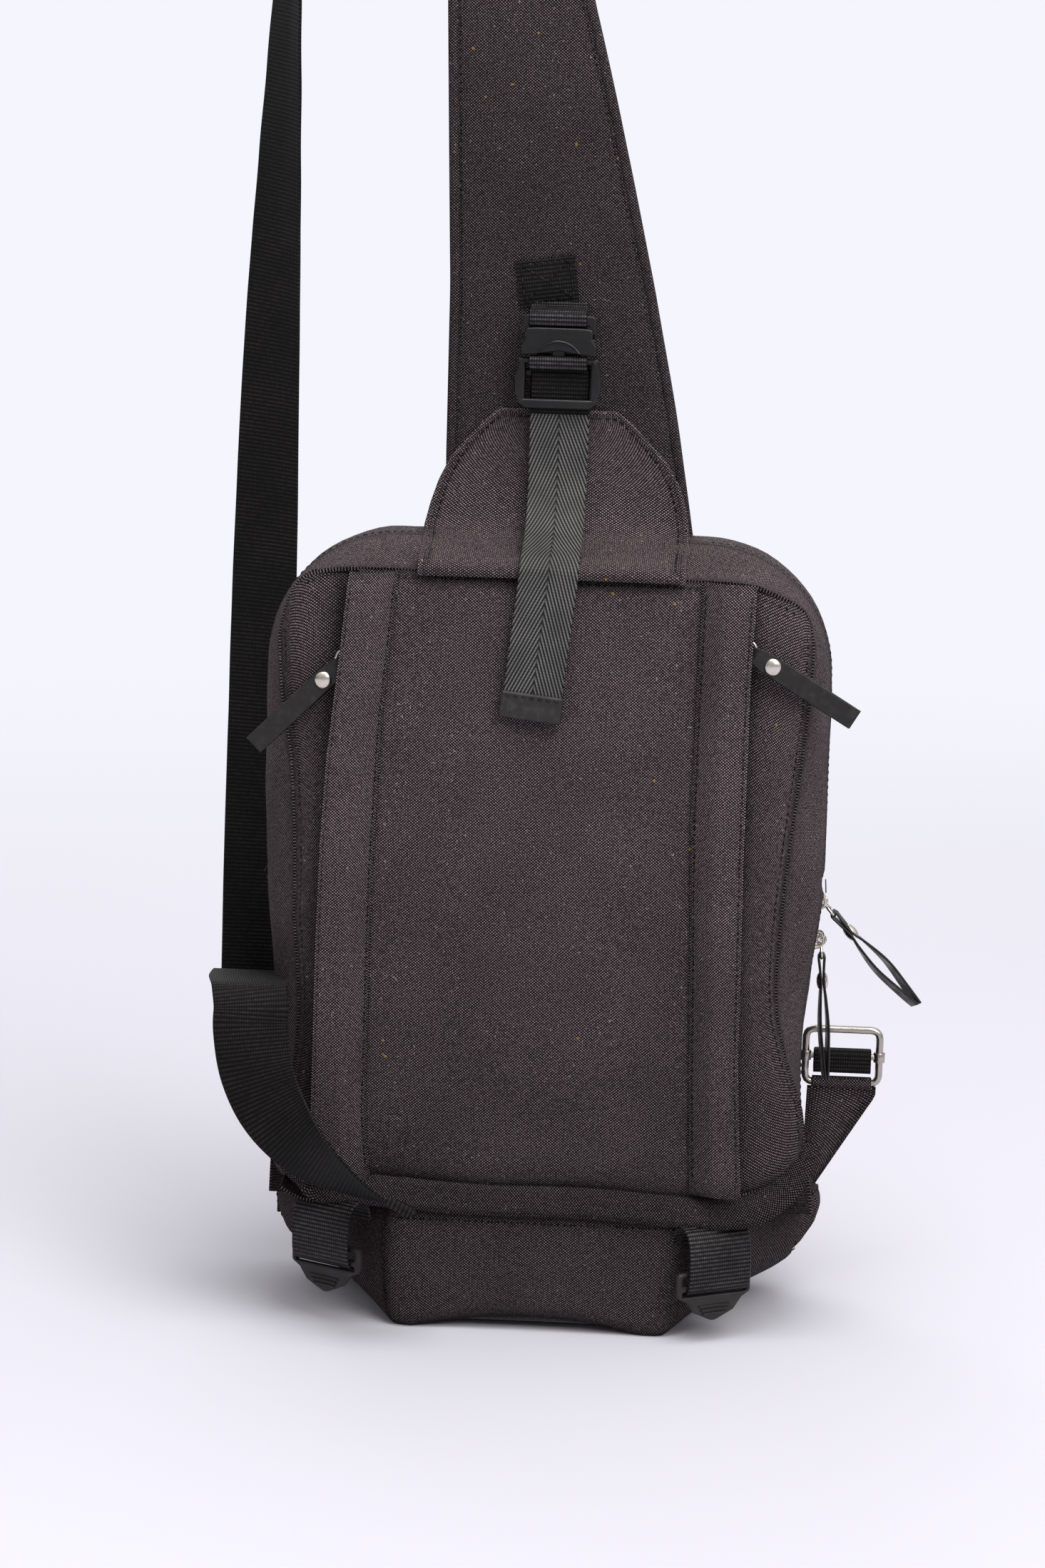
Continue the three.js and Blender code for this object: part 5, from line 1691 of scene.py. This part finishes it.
# ------------------------------------------------------------------ strap sliders, their bars and tabs
SLIDER_X, SLIDER_Y, SLIDER_Z = 141.8, 47.5, 112.5
for side, sign in SIDES:
    frame_body = "slider_right_frame" if sign > 0 else "bag_body"
    bar_body = "slider_right_bar" if sign > 0 else "bag_body"
    drawn_in, narrowed = (8.0, 0.9) if sign < 0 else (-2.0, 1.0)
    middle = np.array([sign * SLIDER_X + drawn_in, SLIDER_Y, SLIDER_Z])
    ring_corners = [
        (x, z, 4.4) for x, z in ((-17.25, -12.75), (17.25, -12.75), (17.25, 12.75), (-17.25, 12.75))
    ]
    ring = resample([*rounded(ring_corners, 7), (-17.25, -8.35)], 72)[:-1]
    wire = tube(
        f"strap_slider_wire_{side}", [middle + (x * narrowed, 0, z) for x, z in ring], radius=1.75,
        material=dark_metal, closed=True, sides=14
    )
    place(wire, frame_body, "dark_metal", f"strap_slider_{side}")
    rod_line = [middle + (x * narrowed, 0, 0) for x in np.linspace(-15.0, 15.0, 8)]
    rod = tube("rod", rod_line, radius=1.45, material=dark_metal, sides=12)
    sleeves = []
    for end in (-17.25, 17.25):
        collar = [(2.05, -2.3), (2.5, -2.3), (2.7, -2.0), (2.7, 2.0), (2.5, 2.3), (2.05, 2.3)]
        sleeves.append(lathe("collar", collar, dark_metal, middle + (end * narrowed, 0, 0), (0, 0, 1), 20))
    place(joined(f"strap_slider_rod_{side}", [rod, *sleeves]), bar_body, "dark_metal", f"slider_bar_{side}")

    tab_rows = []
    for t in np.linspace(0, 1, 22):
        z = 26 + (98.6 - 26) * t
        inner = np.interp(z, [26, 60, 99], [121.5, 122.5, 124.0])
        outer = np.interp(z, [26, 50, 94, 99], [124.5, 129.6, 158.4, 158.6])
        curl = 3.0 * max(0.0, (t - 0.86) / 0.14) ** 2
        tab_rows.append(
            [
                (
                    sign * (inner + (outer - inner) * s) + drawn_in * t * s * 1.3,
                    46.0 + 0.8 * math.sin(3 * s + z / 18) - curl * 0.4, z - curl * 0.3
                )
                for s in np.linspace(0, 1, 12)
            ]
        )
    tab_grid = np.array(tab_rows)
    # The tab takes the lighter canvas copy: painted light.
    tab = shell(
        f"slider_tab_canvas_{side}", tab_grid, (0, 200, 60), canvas_lit, thickness=2.4, waves=0.4,
        wave_size=20.0, seed=80.0 + sign
    )
    seam = np.array([row[-2] for row in tab_grid[2:-1]]) + np.array([0, -0.35, 0])
    tab_seam = stitches(
        f"slider_tab_stitching_{side}", seam, (0, -1, 0), spacing=3.2, length=2.2, radius=0.3
    )
    round_wire = [
        (sign * SLIDER_X + drawn_in, SLIDER_Y + 2.6 * math.sin(a), 99.7 + 2.6 * math.cos(a))
        for a in np.linspace(-2.5, 2.5, 9)
    ]
    wrap = sweep(
        f"slider_tab_wrap_{side}", level(round_wire),
        strap_section(28 * narrowed, 1.1, columns=7), canvas, count=26
    )
    place(tab, "bag_body", "canvas", f"slider_tab_{side}")
    place(tab_seam, "bag_body", "canvas")
    place(box_uvs(wrap), "bag_body", "canvas")

keeper_line = [
    (-3.5, -7.2), (-3.2, -3.0), (-2.9, 0.4), (-2.0, 2.6), (0.0, 3.2), (2.0, 2.6), (2.9, 0.4), (3.2, -3.0),
    (3.5, -7.2)
]
keeper = sweep(
    "slider_keeper_strap",
    level([(SLIDER_X - 2.0, SLIDER_Y + y, SLIDER_Z + z) for y, z in keeper_line]),
    strap_section(27, 1.3, columns=9), black_webbing, count=50
)
place(keeper, "slider_right_bar", "black_webbing", "slider_keeper_webbing")

# ------------------------------------------------------------------ lower loops and ladder locks
loop_profile = [
    (1.6, 41.0), (2.2, 45.0), (4.6, 48.8), (9.2, 50.4), (14.4, 48.6), (17.4, 43.6), (18.3, 38.0),
    (18.4, 32.0), (18.2, 27.0), (17.4, 23.6), (15.4, 21.4), (12.6, 20.4), (10.6, 20.2)
]
LOCK_OUTLINE = [
    (-21.6, 30.8, 3), (-21.6, 19.4, 3), (-16.0, 17.0, 2), (-12.2, 11.6, 3), (-2.2, 7.0, 5), (8.4, 11.6, 3),
    (12.6, 17.0, 2), (17.0, 19.4, 2), (17.0, 30.8, 3)
]
for side, sign in SIDES:
    foot = (79.4 - 1.2, -38.2, 3.0) if sign > 0 else (-79.4 - 6.0, -38.2 + 1.2, 8.0)
    corner = Matrix.Translation(foot) @ turned(sign * 32, "Z")
    strap = sweep(
        f"lower_loop_strap_{side}", level([(-0.9 * sign, -out, z) for out, z in loop_profile]),
        strap_section(32, 1.5, columns=11), loop_webbing, count=60, ripple=0.3, seed=3.0 + sign
    )
    strap = moved(strap, corner)
    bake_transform(strap)
    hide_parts(f"lower_loop_{side}")
    lock_outline = rounded([(x * sign, z, r) for x, z, r in LOCK_OUTLINE][::sign])
    slots = []
    for low, high in ((24.6, 28.4), (19.6, 21.8)):
        slot_corners = ((-18.8, low), (15.2, low), (15.2, high), (-18.8, high))
        slots.append(rounded([(x * sign, z, 1) for x, z in slot_corners][::-sign]))
    lock = plate(
        f"ladder_lock_moulding_{side}", lock_outline, depth=3.4, material=lock_plastic,
        matrix=corner @ Matrix.Translation((0, -14.4, 0)) @ FRONT_ON, holes=slots, bevel=0.9
    )
    ribs = []
    for k, z in enumerate((14.6, 12.8, 11.0)):
        rib = [(x, -16.5, z) for x in np.linspace(-8 + k - 2 * sign, 8 - k - 2 * sign, 5)]
        ribs.append(tube("rib", rib, radius=0.5, material=lock_plastic, sides=8))
    ribs = moved(joined("ribs", ribs), corner)
    place(
        joined(f"ladder_lock_parts_{side}", [lock, ribs]), f"lock_{side}", "buckle_plastic",
        f"ladder_lock_{side}"
    )

# ------------------------------------------------------------------ floor, light and finish
BACKDROP = (0.905, 0.915, 0.985)
FLOOR_COLOUR = (0.545, 0.54, 0.59)
FLOOR_FADE = (0.5, 2.2)  # metres from the bag
SKY_COLOUR = (1.0, 0.975, 0.985)
SKY_RISE = (-0.25, 0.95, 0.18, 1.0)  # heights, and the strength of the light from each
SKY_FROM_RIGHT = 0.22


def studio_node(tree, kind, operation=None, **inputs):
    """A node with its numbered inputs, in_0 and so on, set to a value or linked to a socket."""
    node = tree.nodes.new(kind)
    if operation:
        setattr(node, "interpolation_type" if kind == "ShaderNodeMapRange" else "operation", operation)
    for name, value in inputs.items():
        socket = node.inputs[int(name[3:])]
        if isinstance(value, bpy.types.NodeSocket):
            tree.links.new(value, socket)
        else:
            socket.default_value = value
    return node


def studio_floor():
    """A pale floor that fades into the even studio background with distance."""
    material = bpy.data.materials.new("studio_floor")
    material.use_nodes = True
    tree = material.node_tree
    tree.nodes.clear()
    near = studio_node(tree, "ShaderNodeBsdfDiffuse", in_0=(*FLOOR_COLOUR, 1)).outputs[0]
    far = studio_node(tree, "ShaderNodeEmission", in_0=(*BACKDROP, 1), in_1=1.0).outputs[0]
    place_node = tree.nodes.new("ShaderNodeTexCoord")
    away = studio_node(tree, "ShaderNodeVectorMath", "LENGTH", in_0=place_node.outputs["Object"])
    fade_from, fade_to = FLOOR_FADE
    fade = studio_node(
        tree, "ShaderNodeMapRange", "SMOOTHSTEP", in_0=away.outputs["Value"], in_1=fade_from, in_2=fade_to
    )
    mix = studio_node(tree, "ShaderNodeMixShader", in_0=fade.outputs[0], in_1=near, in_2=far)
    studio_node(tree, "ShaderNodeOutputMaterial", in_0=mix.outputs[0])
    return material


FLOOR_REACH = 40000.0
floor_corners = [(x * FLOOR_REACH, y * FLOOR_REACH, 0) for x, y in ((-1, -1), (1, -1), (1, 1), (-1, 1))]
floor = make_mesh("floor", floor_corners, [(0, 1, 2, 3)], None, studio_floor())


def studio_world():
    """An even pale background; as light it is brighter from above and from the right."""
    sky = bpy.data.worlds.new("studio")
    sky.use_nodes = True
    tree = sky.node_tree
    shown = tree.nodes["Background"]
    shown.inputs[0].default_value = (*BACKDROP, 1)
    shown.inputs[1].default_value = 1.0
    direction = tree.nodes.new("ShaderNodeTexCoord").outputs["Generated"]
    parts = studio_node(tree, "ShaderNodeSeparateXYZ", in_0=direction).outputs
    low, high, dim, bright = SKY_RISE
    rise = studio_node(
        tree, "ShaderNodeMapRange", "SMOOTHSTEP", in_0=parts[2], in_1=low, in_2=high, in_3=dim, in_4=bright
    )
    power = studio_node(
        tree, "ShaderNodeMath", "MULTIPLY_ADD", in_0=parts[0], in_1=SKY_FROM_RIGHT, in_2=rise.outputs[0]
    )
    lit = studio_node(tree, "ShaderNodeBackground", in_0=(*SKY_COLOUR, 1), in_1=power.outputs[0])
    seen = tree.nodes.new("ShaderNodeLightPath").outputs["Is Camera Ray"]
    mix = studio_node(tree, "ShaderNodeMixShader", in_0=seen, in_1=lit.outputs[0], in_2=shown.outputs[0])
    tree.links.new(mix.outputs[0], tree.nodes["World Output"].inputs[0])
    return sky


bpy.context.scene.world = studio_world()


def lamp(name, place_at, aim, size, power, colour=(1, 1, 1)):
    """A rectangular lamp that faces the point aim."""
    data = bpy.data.lights.new(name, "AREA")
    data.shape = "RECTANGLE"
    data.size, data.size_y = size
    data.energy = power
    data.color = colour
    linked(name, data).matrix_world = looking(place_at, aim)


lamp(
    "key", place_at=(1.2, -1.7, 1.9), aim=(0, 0, 0.25), size=(1.5, 1.5), power=40, colour=(1.0, 0.985, 0.97)
)
lamp("top", place_at=(0.2, -0.8, 2.4), aim=(0, 0, 0.2), size=(1.6, 1.2), power=34)
lamp("rear", place_at=(-0.7, 2.1, 1.7), aim=(0, 0, 0.3), size=(1.4, 1.4), power=20)
